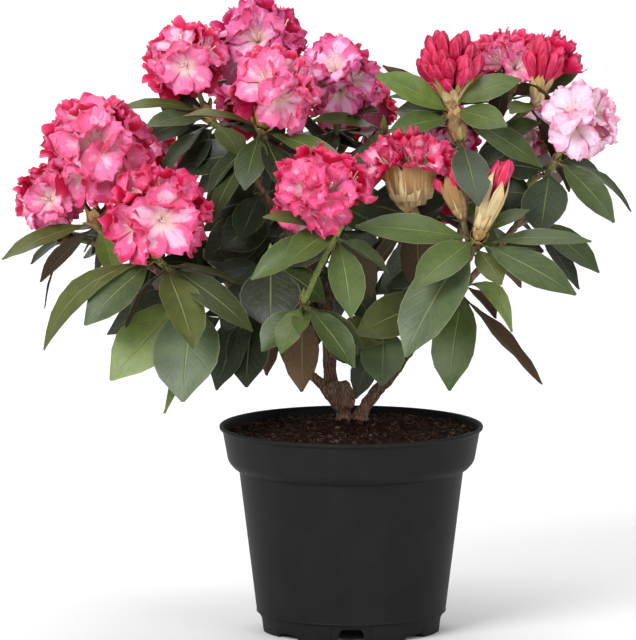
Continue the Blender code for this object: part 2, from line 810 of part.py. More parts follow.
def build_soil(paint):
    """Peat that fills the pot: a plug with a low crown round the stems."""
    band_bottom = POT_HEIGHT - BAND_HEIGHT
    slack = WALL + CLEARANCE + SOIL_SLACK
    ledge_height = band_bottom + INNER_LEDGE
    slope = (RIM_RADIUS - LIP_ROLL - BAND_FOOT_RADIUS) / (POT_HEIGHT - LIP_BEVEL - ledge_height)
    edge_radius = BAND_FOOT_RADIUS - slack + slope * (SOIL_EDGE_HEIGHT - ledge_height)
    # radius, height, and how far the ring is shifted from the pot's axis to the crown's
    levels = (
        (BODY_FOOT_RADIUS - slack, FLOOR_TOP + CLEARANCE, 0.0),
        (BODY_TOP_RADIUS - slack, band_bottom - INNER_SHOULDER, 0.0),
        (BAND_FOOT_RADIUS - slack - SOIL_LEDGE_SLACK, ledge_height, 0.0),
        (edge_radius, SOIL_EDGE_HEIGHT, 0.0),
        (SOIL_SHOULDER_RADIUS, SOIL_SHOULDER_HEIGHT, 0.5),
        (SOIL_CROWN_RADIUS, SOIL_CROWN_HEIGHT, 1.0),
    )
    rings = []
    for radius, height, shift in levels:
        ring = []
        for k in range(SOIL_SIDES):
            angle = math.tau * k / SOIL_SIDES
            x = SOIL_CROWN_CENTRE[0] * shift + radius * math.cos(angle)
            y = SOIL_CROWN_CENTRE[1] * shift + radius * math.sin(angle)
            ring.append((x, y, height))
        rings.append(ring)
    soil = loft(rings)
    finish("soil", soil, paint, smooth=True)
    return soil


# ---------------------------------------------------------------- stems, boughs and masses
def limb_tube(name, extra=0.0):
    way_points, radii = LIMBS[name]
    return tube(way_points, radii, LIMB_SIDES, LIMB_STATIONS, extra, level_foot=name.startswith("trunk"))


def cut_clear(solid, neighbours):
    """Cut a solid back from every grown neighbour that it meets."""
    tree = BVHTree.FromPolygons(*solid)
    cutters = [neighbour for neighbour in neighbours if tree.overlap(BVHTree.FromPolygons(*neighbour))]
    if cutters:
        return keep_largest(combine(solid, cutters, "DIFFERENCE"))
    return solid


def build_limbs():
    """Every stem and bough, each cut clear of the ones it grows from."""
    solids = {}
    for name in LIMBS:
        solids[name] = cut_clear(limb_tube(name), [limb_tube(other, CLEARANCE) for other in solids])
    return solids


def whorl_of(shoot):
    return Vector(SHOOTS[shoot]["whorl"])


def truss_axis(shoot):
    kind, centre = SHOOTS[shoot]["truss"][:2]
    if kind == "none":
        return UP.copy()
    return (Vector(centre) - whorl_of(shoot)).normalized()


def truss_heart(shoot):
    """Point that the flowers of a truss spread from."""
    kind, centre, radius = SHOOTS[shoot]["truss"][:3]
    return Vector(centre) - truss_axis(shoot) * (HEART_BACK[kind] * radius)


def twig_paths(mass):
    """Way points and radii of each twig in a mass, with the stalk of every truss added."""
    paths = []
    for way_points, radii in MASSES[mass]:
        shoot = way_points[-1]
        places = [Vector(point) for point in way_points[:-1]] + [whorl_of(shoot)]
        paths.append((places, radii))
        if SHOOTS[shoot]["truss"][0] != "none":
            stalk_foot = whorl_of(shoot) - truss_axis(shoot) * STALK_SINK
            paths.append(([stalk_foot, truss_heart(shoot)], [radii[-1] - STALK_TAPER, STALK_TOP_RADIUS]))
    return paths


def below_whorl(shoot, distance):
    """Point on the twig's own line, this far below its whorl."""
    way_points, radii = TWIGS[shoot]
    places = [Vector(point) for point in way_points[:-1]] + [whorl_of(shoot)]
    path = [place for place, _ in smooth_path(places, radii, PATH_STATIONS)]
    for upper, lower in zip(path[::-1], path[-2::-1]):
        step = (upper - lower).length
        if distance <= step:
            return upper.lerp(lower, distance / step)
        distance -= step
    return path[0]


def named_leaves(shoot):
    """Leaves with a chosen tip, their roots spaced down the twig below the whorl."""
    for i, (offset, width, turn) in enumerate(SHOOTS[shoot]["leaves"]):
        root = below_whorl(shoot, LEAF_FIRST + LEAF_SPACING * i)
        yield leaf, (root, whorl_of(shoot) + Vector(offset), width, turn)


def fill_leaves(shoot):
    """Seeded leaves round the rest of a whorl, turned by the golden angle."""
    count, middle, spread = SHOOTS[shoot]["fill"]
    dice = random.Random(f"fill {shoot}")
    turn = dice.uniform(0, math.tau)
    first = len(SHOOTS[shoot]["leaves"])
    for i in range(count):
        if spread >= 180:
            heading = turn + i * GOLDEN_ANGLE
        else:
            share = (i + 0.5) / count * 2 - 1
            heading = math.radians(middle + spread * share + dice.uniform(-FILL_SWAY, FILL_SWAY))
        droop = math.radians(dice.uniform(*FILL_DROOP))
        length = dice.uniform(*LEAF_LENGTH)
        out = Vector((math.cos(heading), math.sin(heading), 0))
        root = below_whorl(shoot, LEAF_FIRST + LEAF_SPACING * (first + i))
        tip = root + (out * math.cos(droop) - UP * math.sin(droop)) * length
        yield leaf, (root, tip, length * LEAF_WIDTH_RATIO, 0.0, FILL_STATIONS)


def truss_flowers(shoot):
    """The flowers or buds of a truss, spread over a dome by the golden angle; a lone bud is all cup."""
    kind, _, radius, count = SHOOTS[shoot]["truss"]
    if count < 2:
        return
    axis = truss_axis(shoot)
    side, other = frame_about(axis)
    heart = truss_heart(shoot)
    dice = random.Random(f"truss {shoot}")
    turn = dice.uniform(0, math.tau)
    maker = bud if kind == "bud" else flower
    for i in range(count):
        tilt = math.acos(1 - (i + 0.5) / count * (1 - math.cos(SPREAD[kind])))
        angle = turn + i * GOLDEN_ANGLE
        sideways = side * math.cos(angle) + other * math.sin(angle)
        direction = axis * math.cos(tilt) + sideways * math.sin(tilt)
        yield maker, (heart, direction, radius * dice.uniform(*LENGTH[kind]), radius * GIRTH[kind])


def truss_middles(shoot):
    """The solid that the flowers or buds of a truss stand out of, or the whole of a lone bud."""
    kind, centre, radius, count = SHOOTS[shoot]["truss"]
    axis = truss_axis(shoot)
    if kind == "open":
        yield truss_core, (truss_heart(shoot), axis, radius)
    elif count == 1:
        foot = whorl_of(shoot) + axis * CUP_FOOT
        length = (Vector(centre) - foot).length + radius
        yield scale_cup, (foot, axis, length, radius * CLOSED_CUP_GIRTH)
    elif count:
        foot = truss_heart(shoot) - axis * (radius * CUP_BACK)
        yield scale_cup, (foot, axis, radius * CUP_LENGTH, radius * CUP_GIRTH)


def place_twigs(space):
    """Twigs of every mass, each cut clear of the limbs and of the twigs of the masses before it."""
    parts = {}
    neighbours = [limb_tube(name, CLEARANCE) for name in LIMBS]
    for mass in MASSES:
        parts[mass] = []
        grown = []
        for way_points, radii in twig_paths(mass):
            twig = cut_clear(tube(way_points, radii, TWIG_SIDES, TWIG_STATIONS), neighbours)
            parts[mass].append(twig)
            space.add(mass, twig)
            grown.append(tube(way_points, radii, TWIG_SIDES, TWIG_STATIONS, CLEARANCE))
        neighbours.extend(grown)
    return parts


def place_foliage(space, parts):
    """Add trusses and leaves to the twigs of every mass; one that would touch another node is left out."""
    for stage in (truss_middles, named_leaves, truss_flowers, fill_leaves):
        for mass, twigs in MASSES.items():
            for way_points, _ in twigs:
                for maker, size in stage(way_points[-1]):
                    if space.is_taken(mass, maker(*size, extra=CLEARANCE)):
                        continue
                    solid = maker(*size)
                    parts[mass].append(solid)
                    space.add(mass, solid)


def main():
    for leftover in list(bpy.data.objects):
        bpy.data.objects.remove(leftover)
    space = Space()
    build_pot(material("pot_plastic", PLASTIC_BLACK, roughness=0.42))
    space.add("soil", build_soil(material("soil_peat", PEAT_BROWN, roughness=0.95)))
    for name, limb in build_limbs().items():
        finish(name, limb, material(f"{name}_bark", BARK_BROWN, roughness=0.85), smooth=True)
        space.add(name, limb)
    parts = place_twigs(space)
    place_foliage(space, parts)
    for mass, (first, *rest) in parts.items():
        fused = keep_largest(combine(first, rest, "UNION"))
        finish(mass, fused, material(f"{mass}_leaf", LEAF_GREEN, roughness=0.5))


main()
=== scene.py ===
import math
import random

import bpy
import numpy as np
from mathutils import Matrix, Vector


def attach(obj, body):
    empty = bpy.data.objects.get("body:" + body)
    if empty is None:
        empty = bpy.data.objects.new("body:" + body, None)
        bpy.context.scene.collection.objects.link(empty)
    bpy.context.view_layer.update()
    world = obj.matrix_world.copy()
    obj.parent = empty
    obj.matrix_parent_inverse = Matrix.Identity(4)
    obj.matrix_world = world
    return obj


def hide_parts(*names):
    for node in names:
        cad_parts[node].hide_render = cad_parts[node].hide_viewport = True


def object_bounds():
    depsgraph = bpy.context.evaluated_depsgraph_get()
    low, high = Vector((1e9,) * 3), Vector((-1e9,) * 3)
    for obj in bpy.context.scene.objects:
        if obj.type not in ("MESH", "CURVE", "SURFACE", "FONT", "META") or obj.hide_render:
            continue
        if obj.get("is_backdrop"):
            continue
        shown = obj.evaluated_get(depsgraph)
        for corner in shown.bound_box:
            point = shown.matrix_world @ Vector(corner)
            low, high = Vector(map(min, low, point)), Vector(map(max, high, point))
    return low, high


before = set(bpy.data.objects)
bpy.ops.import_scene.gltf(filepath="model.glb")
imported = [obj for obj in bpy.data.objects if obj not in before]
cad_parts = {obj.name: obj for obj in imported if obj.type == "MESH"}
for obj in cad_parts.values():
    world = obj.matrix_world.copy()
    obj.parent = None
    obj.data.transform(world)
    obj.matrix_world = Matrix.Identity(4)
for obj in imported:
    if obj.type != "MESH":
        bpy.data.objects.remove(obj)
CAD_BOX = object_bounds()

# Potted rhododendron in bloom: looks.
# The stems, boughs, whorls and trusses stand where the solids have them, grown by the same rules, and are
# carried on to real leaves, petals, stamens, buds and bud scales.
# World frame: origin at the centre of the pot's underside, +Z up, -Y the front.  Sizes are in millimetres
# until a mesh is made.

MM = 0.001
UP = np.array([0.0, 0.0, 1.0])
FRONT = np.array([0.0, -1.0, 0.0])
RIGHT = np.array([1.0, 0.0, 0.0])
GOLDEN_ANGLE = math.radians(137.5)
CHART_CELLS = 4
CELL_MARGIN = 0.03
CELL_SPAN = 0.94
CREASE_ANGLE = 115

# ---------------------------------------------------------------- pot and soil
POT_HEIGHT = 180.0
RIM_RADIUS = 115.0
LIP_ROLL = 1.4
WALL = 2.2
BAND_HEIGHT = 37.0
BAND_FOOT_RADIUS = 107.5
BODY_TOP_RADIUS = 98.0
BODY_FOOT_RADIUS = 82.5
FOOT_RADIUS = 78.5
FOOT_STEP_HEIGHT = 15.0
FOOT_WALL = 3.0
PAD_RADIUS = 18.0
DRAIN_NOTCHES = 8
DRAIN_ROOF = 12.0
SHALLOW_ROOF = 3.6
NOTCH_HALF = 6.8
NOTCH_FOOT_HALF = 12.0
RECESS_HALF = 18.0
SOIL_EDGE_HEIGHT = 171.0
SOIL_CROWN_HEIGHT = 181.0
POT_SIDES = 144
# longest face along the pot's outline
POT_FACE = 9.0
SOIL_SIDES = 200
SOIL_RINGS = 64
CRUMBS = 2600
CRUMB_SHARES = [0.26, 0.22, 0.18, 0.12, 0.09, 0.06, 0.04, 0.03]
FIBRES = 420
STEM_FOOT = 181.3
# hollow in the left stem, and the swelling round it: way points and radii
KNOT = np.array([2.0, 15.0, 198.0])
BURL = ([(-8, 24, 188), (-5, 21, 196), (-4, 21, 205), (-9, 23, 214)], [5.0, 7.0, 6.6, 5.0])

# ---------------------------------------------------------------- stems and boughs
# name: (way points, radius at each way point)
LIMBS = {
    "trunk_left": (
        [(-6.8, 25, STEM_FOOT), (-8, 25, 190), (-14, 25, 201), (-20, 25, 213)],
        [5.6, 5.4, 7.6, 9.4],
    ),
    "trunk_right": (
        [(7.4, 22, STEM_FOOT), (9, 22, 187), (18, 24, 200), (30, 25, 215)],
        [6.4, 5.4, 5.2, 5.0],
    ),
    "bough_middle": ([(-17, 27, 207), (-19, 28, 235), (-20, 20, 275)], [6.2, 5.6, 4.6]),
    "bough_left": ([(-23, 25, 209), (-44, 20, 229), (-75, 10, 258)], [4.4, 3.8, 3.5]),
    "bough_left_far": ([(-73, 11, 256), (-130, -5, 290), (-180, -20, 325)], [3.4, 3.1, 2.8]),
    "bough_back_left": ([(-74, 11, 256), (-105, 50, 292), (-130, 90, 330)], [3.3, 3.0, 2.7]),
    "bough_top": ([(-20, 21, 272), (-14, 26, 335), (-18, 25, 395)], [4.1, 3.5, 3.0]),
    "bough_top_left": ([(-20, 20, 272), (-48, 10, 335), (-82, 5, 392)], [4.0, 3.5, 3.0]),
    "bough_front": ([(-20, 22, 271), (-34, -30, 284), (-41, -82, 294)], [3.8, 3.3, 2.9]),
    "bough_back": ([(-20, 19, 271), (-26, 60, 308), (-34, 98, 345)], [3.8, 3.3, 2.8]),
    "bough_right": ([(28, 25, 211), (55, 15, 248), (76, 5, 280)], [4.9, 4.5, 4.1]),
    "bough_right_up": ([(75, 6, 277), (92, -4, 335), (101, -6, 390)], [3.9, 3.4, 3.0]),
    "bough_right_far": ([(74, 6, 277), (112, 8, 316), (142, 8, 352)], [3.7, 3.2, 2.8]),
    "bough_right_front": ([(74, 7, 276), (88, -35, 306), (97, -62, 328)], [3.6, 3.2, 2.8]),
    "bough_back_right": ([(74, 4, 276), (92, 50, 308), (108, 84, 335)], [3.6, 3.2, 2.8]),
}

# ---------------------------------------------------------------- shoots
# Each shoot is a twig that ends in a whorl:
# twig, its way points before the whorl; girth, the radius at each of them and at the whorl;
# truss, where it has one: kind, centre and radius;
# flowers of the truss: petals, how many, spread in degrees, lean to the front;
# fill, seeded leaves: how many, middle heading and half spread, then the least and most droop where they must
# keep high, in degrees with heading 0 = +X and 90 = +Y;
# leaves: tip's x, y and z from the whorl, width, turn of the upper face to the front in degrees, tone in
# LEAF_GREENS (tone 9 is painted shade), and the arch where it is not LEAF_ARCH.
SHOOTS = {
    "A": dict(whorl=(-222, -40, 363), twig=[(-178, -19, 323), (-205, -32, 340)], girth=(2.7, 2.6, 2.6),
        truss=("open", (-219, -40, 429), 50), flowers=("pink", 15, 132, 0.1), fill=(3, 80, 80, -5, 12),
        leaves=[(-80, -20, -30, 26, 25, 3), (-48, 20, -55, 24, -25, 0), (18, -45, -44, 24, 0, 7),
                (-10, 5, -27, 9, 0, 0)]),
    "B": dict(whorl=(-248, -10, 347), twig=[(-203, -31, 338)], girth=(2.4, 2.3),
        truss=("open", (-263, -20, 384), 33), flowers=("pink", 11, 125, 0.1), fill=(2, 110, 70, -5, 12),
        leaves=[(-30, -20, -22, 14, 10, 5), (-19, 0, -64, 9, 0, 9)]),
    "C": dict(whorl=(-168, -95, 339), twig=[(-137, -59, 304)], girth=(2.9, 2.7),
        truss=("open", (-165, -100, 380), 46), flowers=("rose", 14, 124, 0.1), fill=(1, 60, 30),
        leaves=[(-61, -30, -54, 36, 45, 1), (-97, 0, -80, 34, 30, 3, 0.41), (32, -45, -72, 42, 0, 3),
                (83, -20, -61, 34, 35, 0), (74, 35, -29, 26, 10, 3), (-27, 25, -69, 34, 20, 5)]),
    "C2": dict(whorl=(-138, -60, 305), twig=[(-74, 10, 257), (-108, -25, 278)], girth=(3.2, 3.0, 2.9),
        leaves=[(-70, -30, -73, 48, 60, 8), (-7, -55, -88, 60, 0, 4), (-24, 5, -107, 13, 60, 7, -0.1)]),
    "T": dict(whorl=(-83, -30, 294), twig=[(-75, 9, 257), (-82, -8, 274)], girth=(2.8, 2.6, 2.5),
        leaves=[(-34, -10, -78, 40, 40, 5), (-8, -20, -74, 42, 0, 9), (-3, 20, -60, 24, 0, 0),
                (30, 10, -64, 34, 35, 1)]),
    "T2": dict(whorl=(-70, -48, 333), twig=[(-82, -10, 276), (-76, -32, 304)], girth=(2.5, 2.4, 2.4),
        fill=(1, 100, 40),
        leaves=[(0, -40, -56, 54, 0, 9), (-42, -20, -62, 34, 40, 5), (48, 5, -40, 34, 40, 0),
                (-58, 25, -22, 30, 35, 5), (48, 30, 5, 30, 45, 9)]),
    "D": dict(whorl=(-125, 0, 451), twig=[(-81, 5, 390), (-95, 0, 418)], girth=(2.9, 2.7, 2.6),
        truss=("open", (-144, 0, 501), 38), flowers=("pink", 13, 122, 0.05), fill=(3, 80, 45, 0, 20),
        leaves=[(-82, -20, 6, 14, 35, 3, 0.3), (-52, -50, -3, 26, 30, 4), (-39, -30, -51, 26, 0, 0),
                (29, -50, -31, 26, 10, 2)]),
    "F": dict(whorl=(-77, -45, 446), twig=[(-84, 4, 396), (-82, -20, 422)], girth=(2.8, 2.7, 2.6),
        truss=("open", (-66, -45, 481), 39), flowers=("pink", 14, 124, 0.15), fill=(2, 200, 60),
        leaves=[(-68, -45, 15, 24, 20, 3), (-15, -35, -50, 30, 0, 0), (72, -45, -29, 26, 25, 2),
                (22, -50, -52, 28, 0, 9), (-48, 5, -62, 30, 20, 5)]),
    "E": dict(whorl=(-78, 45, 473), twig=[(-81, 6, 390), (-76, 28, 420), (-76, 44, 450)],
        girth=(2.9, 2.7, 2.6, 2.6), truss=("open", (-80, 40, 511), 42), flowers=("mauve", 13, 116, 0.0),
        fill=(3, 90, 90),
        leaves=[(-60, 50, -10, 28, 0, 0), (40, 60, -20, 28, 0, 5)]),
    "G": dict(whorl=(-12, 20, 443), twig=[(-18, 25, 393), (-16, 22, 420)], girth=(2.9, 2.7, 2.6),
        truss=("open", (-9, 20, 483), 38), flowers=("mauve", 12, 120, 0.05), fill=(3, 80, 80),
        leaves=[(35, -30, 14, 24, 20, 9), (-20, -45, -40, 30, 0, 5)]),
    "X": dict(whorl=(28, 10, 438), twig=[(-17, 24, 402), (8, 16, 420)], girth=(2.6, 2.5, 2.4),
        fill=(3, 60, 70),
        leaves=[(-62, -30, 11, 22, 30, 2), (15, -35, -55, 32, 0, 5), (-12, -50, -48, 34, 0, 0)]),
    "Q": dict(whorl=(-41, -110, 303), twig=[(-41, -80, 294), (-42, -95, 297)], girth=(2.8, 2.7, 2.6),
        leaves=[(-20, -20, -42, 26, 25, 2), (43, -30, -53, 28, 35, 1), (52, 0, -43, 22, 20, 0),
                (-2, 20, -81, 32, 0, 6), (-36, -6, -42, 30, 40, 1), (-4, -30, -24, 17, 0, 2)]),
    "H": dict(whorl=(-9, -130, 373), twig=[(-41, -109, 302), (-30, -122, 330)], girth=(2.5, 2.5, 2.6),
        truss=("open", (-27, -135, 403), 42), flowers=("rose", 13, 118, 0.1), fill=(1, 60, 40),
        leaves=[(-48, -45, -30, 29, 40, 2), (-77, -20, -45, 27, 45, 2), (-67, -40, 11, 23, 35, 3),
                (8, -35, -76, 34, 0, 2), (42, 20, -48, 26, 35, 4)]),
    "M": dict(whorl=(52, -60, 378), twig=[(96, -60, 327), (70, -62, 350)], girth=(2.7, 2.8, 3.2),
        truss=("half", (49, -60, 432), 34), flowers=("bud", 14, 20, 0.0), fill=(2, 110, 60),
        leaves=[(-38, 15, -58, 28, 20, 0), (20, 40, -56, 26, 0, 5)]),
    "O": dict(whorl=(95, -80, 374), twig=[(103, -78, 340)], girth=(2.4, 2.4),
        truss=("bud", (86, -78, 400), 17), flowers=("bud", 3, 12, 0.0),
        leaves=[(20, 50, -20, 22, 0, 0)]),
    "N": dict(whorl=(109, -95, 359), twig=[(97, -60, 326), (104, -80, 342)], girth=(2.7, 2.7, 2.7),
        truss=("bud", (124, -95, 402), 24), flowers=("bud", 5, 14, 0.0),
        leaves=[(-63, -55, -98, 56, 25, 4), (-56, -55, -39, 34, 55, 2), (-106, -35, 12, 28, 65, 2),
                (83, -35, -47, 32, 50, 1), (97, -5, -5, 22, 30, 1), (19, -25, -40, 26, 20, 3)]),
    "I": dict(whorl=(87, -20, 462), twig=[(94, -39, 433)], girth=(2.8, 2.9),
        truss=("bud", (85, -20, 502), 29), flowers=("bud", 62, 47, 0.0), fill=(2, 100, 50),
        leaves=[(60, -10, 24, 24, 60, 2, 0.26), (47, -40, -13, 26, 60, 2), (78, -20, -51, 27, 45, 1),
                (-67, -30, 30, 28, 60, 7), (-55, -40, -18, 24, 45, 2), (-60, 10, 34, 20, -75, 6)]),
    "I2": dict(whorl=(94, -40, 434), twig=[(101, -6, 388), (97, -25, 412)], girth=(2.9, 2.8, 2.8),
        leaves=[(14, -88, -46, 34, 0, 5), (-38, -10, -50, 30, 30, 0)]),
    "J": dict(whorl=(140, 25, 469), twig=[(120, 8, 428)], girth=(2.6, 2.6),
        truss=("half", (136, 28, 507), 28), flowers=("pink", 15, 84, 0.08), fill=(3, 100, 70, 0, 25),
        leaves=[(-8, -30, 33, 11, 0, 1), (32, -40, 1, 26, -50, 6)]),
    "K": dict(whorl=(160, 0, 463), twig=[(101, -6, 388), (118, 8, 425)], girth=(2.8, 2.7, 2.6),
        truss=("bud", (169, 0, 502), 20), flowers=("bud", 26, 26, 0.0), fill=(2, 60, 50),
        leaves=[(40, 30, 38, 24, 55, 0), (-23, -45, -5, 21, 45, 2)]),
    "L": dict(whorl=(177, -20, 415), twig=[(141, 8, 350), (160, -5, 382)], girth=(2.7, 2.7, 2.7),
        truss=("open", (199, -25, 452), 36), flowers=("pale", 9, 122, 0.15), fill=(2, 95, 30, -5, 10),
        leaves=[(50, -30, -51, 27, 50, 1, 0.27), (66, 10, -47, 17, 20, 0, 0.28), (44, 20, -19, 13, 0, 9),
                (-13, -40, -60, 42, 0, 5), (-45, 15, -6, 28, 60, 9)]),
    "P": dict(whorl=(160, 30, 360), twig=[(143, 8, 353)], girth=(2.5, 2.4), fill=(2, 100, 30, 0, 15),
        leaves=[(39, -10, -64, 25, 30, 9, -0.02), (56, -20, -48, 30, 40, 1, 0.08)]),
    "R": dict(whorl=(100, -10, 307), twig=[(75, 5, 279), (88, 0, 290)], girth=(3.0, 2.8, 2.7),
        fill=(1, 120, 30, 0, 10),
        leaves=[(-15, -40, -90, 42, 0, 2), (26, 10, -34, 24, -20, 6), (39, -30, -40, 19, 30, 8, 0.74),
                (-48, -20, -44, 34, 35, 1), (66, -10, -89, 34, -35, 6, 0.02)]),
    "S": dict(whorl=(29, 0, 272), twig=[(28, 24, 212), (24, 12, 240)], girth=(3.0, 2.6, 2.4),
        fill=(1, 90, 30),
        leaves=[(-2, -40, -52, 40, 0, 4), (-34, -30, -18, 40, 45, 3), (-25, 5, -70, 26, 70, 5),
                (30, -20, -5, 32, 30, 0)]),
    "back_left_high": dict(whorl=(-172, 72, 372), twig=[(-129, 88, 328), (-148, 92, 345)],
        girth=(2.6, 2.6, 2.6), truss=("open", (-184, 80, 402), 36), flowers=("pink", 12, 116, 0.0),
        fill=(7, 90, 180)),
    "back_left_low": dict(whorl=(-168, 135, 335), twig=[(-131, 91, 331)], girth=(2.5, 2.4),
        truss=("open", (-182, 156, 360), 36), flowers=("rose", 11, 116, 0.0), fill=(7, 90, 180)),
    "back_high": dict(whorl=(-78, 118, 418), twig=[(-34, 96, 343), (-50, 108, 375)], girth=(2.7, 2.7, 2.7),
        truss=("open", (-84, 128, 458), 40), flowers=("mauve", 12, 116, 0.0), fill=(7, 90, 180)),
    "back_middle": dict(whorl=(-8, 120, 408), twig=[(-36, 98, 347), (-22, 108, 375)], girth=(2.6, 2.6, 2.6),
        truss=("open", (2, 132, 446), 40), flowers=("pink", 12, 116, 0.0), fill=(7, 90, 180)),
    "back_low": dict(whorl=(-52, 168, 350), twig=[(-36, 98, 345)], girth=(2.5, 2.4),
        truss=("open", (-56, 192, 380), 38), flowers=("rose", 11, 116, 0.0), fill=(7, 90, 180)),
    "back_right_high": dict(whorl=(78, 92, 392), twig=[(107, 83, 333), (96, 90, 360)], girth=(2.7, 2.7, 2.7),
        truss=("open", (78, 98, 428), 36), flowers=("mauve", 11, 116, 0.0), fill=(7, 90, 180)),
    "back_right_far": dict(whorl=(162, 98, 385), twig=[(110, 84, 337), (136, 94, 355)],
        girth=(2.6, 2.6, 2.6), truss=("open", (176, 106, 420), 36), flowers=("pale", 11, 116, 0.0),
        fill=(4, 125, 60, 0, 25)),
    "back_right_low": dict(whorl=(76, 160, 345), twig=[(108, 85, 335)], girth=(2.5, 2.4),
        truss=("open", (80, 182, 374), 38), flowers=("pink", 11, 116, 0.0), fill=(7, 90, 180)),
}
FOLIAGE_PLACES = ["left_upper", "left_lower", "low_left", "top_left", "top", "top_right", "front", "centre",
                  "right_front", "bud_left", "bud_right", "right", "right_low", "low_centre",
                  "back_left", "back", "back_right"]
FOLIAGE = [f"foliage_{place}" for place in FOLIAGE_PLACES]
GREEN_SHOOTS = ("H", "Q", "S")

# ---------------------------------------------------------------- leaves
LEAF_LENGTH = (78.0, 104.0)
LEAF_ARCH = 0.13
LEAF_SPACING = 3.0
FILL_DROOP = (5.0, 60.0)
FILL_WIDTH = 0.34
# tones of seeded leaves; tone 9 is painted shade
FILL_TONES = (0, 0, 1, 1, 2, 5, 5, 9)
# Older leaves inside the crown: limb or shoot's twig, and for each leaf the share along it, the tip's x, y
# and z, width, turn and tone; most take tone 9, the near-black painted shade of the crown's inside
INNER_LEAVES = [
    ("bough_top_left", [(0.72, -113, -8, 336, 38, 60, 9), (0.6, -104, 20, 300, 32, 60, 5),
        (0.85, -120, 10, 366, 38, 60, 9), (0.92, -96, -30, 345, 30, 40, 5),
        (0.75, -128, 2, 326, 42, 70, 9)]),
    ("D", [(0.9, -146, 12, 406, 44, 70, 9), (0.98, -178, 16, 430, 30, 60, 5)]),
    ("F", [(0.5, -152, 5, 404, 34, 60, 9), (0.3, -136, 20, 382, 34, 60, 5)]),
    ("D", [(0.95, -168, 25, 462, 28, 60, 9)]),
    ("bough_top", [(0.3, -62, 5, 282, 34, 50, 9), (0.45, 18, 10, 268, 32, 60, 5),
        (0.62, 28, 5, 315, 34, 60, 9), (0.8, 22, 20, 352, 32, 60, 0)]),
    ("bough_right_up", [(0.12, 4, -20, 262, 40, 60, 3), (0.4, 26, 0, 284, 38, 60, 9),
        (0.62, 26, 5, 300, 42, 60, 5), (0.95, 24, 10, 366, 34, 60, 9), (0.85, 150, 0, 372, 28, 60, 5)]),
    ("K", [(0.25, 140, 5, 396, 32, 60, 9), (0.1, 142, 0, 422, 28, 60, 9)]),
    ("M", [(0.8, 14, -10, 374, 38, 60, 9)]),
    ("L", [(0.5, 126, 5, 384, 34, 60, 9), (1.0, 219, 2, 396, 26, 55, 9)]),
    ("N", [(1.0, 153, -80, 379, 15, 40, 1)]),
    ("I", [(1.0, 32, -35, 472, 15, 40, 1)]),
    ("C2", [(1.0, -212, -34, 264, 42, 40, 9)]),
    ("T", [(1.0, -74, 0, 223, 26, 40, 6)]),
    ("bough_top", [(0.75, -30, 45, 298, 46, 30, 9)]),
    ("bough_back", [(0.6, -12, 60, 262, 44, 10, 9)]),
    ("bough_top_left", [(0.3, -38, 20, 236, 42, 60, 9)]),
    ("bough_front", [(0.3, 6, -10, 234, 36, 60, 9)]),
    ("bough_right", [(0.8, 30, 10, 292, 30, 60, 9)]),
    ("bough_right_up", [(0.95, 20, 22, 380, 30, 60, 9)]),
    ("bough_top_left", [(0.95, -130, 25, 346, 36, 50, 9), (0.2, -128, 15, 274, 30, 60, 5)]),
    ("I", [(0.8, 38, 10, 454, 26, 60, 9)]),
    ("bough_right_up", [(0.5, 16, 25, 290, 32, 60, 5)]),
    ("bough_back_left", [(0.7, -166, 40, 318, 32, 50, 9)]),
    ("A", [(0.85, -242, 6, 350, 24, 50, 9)]),
    ("K", [(0.6, 127, 10, 446, 24, 60, 9), (0.45, 164, -20, 447, 26, 55, 1), (0.6, 134, 5, 478, 26, 60, 9)]),
    ("bough_right_far", [(0.72, 168, 20, 330, 28, 50, 9)]),
    ("bough_right_front", [(0.5, 60, -70, 282, 32, 60, 0)]),
    ("bough_left_far", [(0.3, -150, 15, 240, 30, 60, 5), (0.55, -176, 20, 262, 30, 50, 0),
        (0.8, -160, 35, 285, 30, 40, 9)]),
    ("bough_back_left", [(0.45, -60, 70, 262, 30, 40, 5), (0.8, -100, 140, 300, 32, 0, 0)]),
    ("bough_back", [(0.45, -70, 95, 268, 32, 0, 5), (0.6, 22, 90, 275, 32, 30, 0),
        (0.85, -10, 160, 305, 32, 0, 1)]),
    ("bough_back_right", [(0.5, 60, 95, 268, 32, 30, 5), (0.75, 150, 110, 285, 32, 20, 0)]),
    ("bough_front", [(0.55, 6, -60, 250, 30, 50, 0)]),
]
# leaf tones; the last, near black, is painted shade for leaves deep in the crown, where shade falls
LEAF_GREENS = [
    (0.024, 0.040, 0.010), (0.034, 0.056, 0.015), (0.052, 0.084, 0.020), (0.062, 0.078, 0.018),
    (0.060, 0.090, 0.042), (0.018, 0.032, 0.015), (0.058, 0.050, 0.016), (0.080, 0.135, 0.024),
    (0.135, 0.195, 0.050), (0.010, 0.017, 0.008),
]
LEAF_LIGHTS = [(green[0] * 1.80, green[1] * 1.64, green[2] * 1.30) for green in LEAF_GREENS]

# ---------------------------------------------------------------- blossom
# shoot: ways that some of its widest open flowers face
FACING = {
    "A": [(18, -40, -8), (-4, -40, 12)], "B": [(1, -29, 4)], "C": [(5, -41, 1)], "D": [(-2, -34, -1)],
    "E": [(-4, -40, 19)], "F": [(-11, -40, 22), (12, -40, -6)], "G": [(-12, -32, 33)], "H": [(-31, -28, -26)],
    "L": [(-14, -34, 24), (-8, -38, -8)],
}
# shoot: petals, reach and ways of the few flowers that open first among its buds
OPENING = {
    "K": ("crimson", 40, [(34, -4, 14), (30, 12, 26), (8, 4, 40), (20, 0, 34)]),
    "M": ("rose", 42, [(-40, -8, 8), (-34, -22, 20), (-18, -30, 26), (-2, -34, 22), (14, -32, 26),
                       (30, -22, 22), (38, -4, 14), (-26, 14, 30), (-6, 6, 38), (12, 10, 36), (28, 16, 26)]),
}
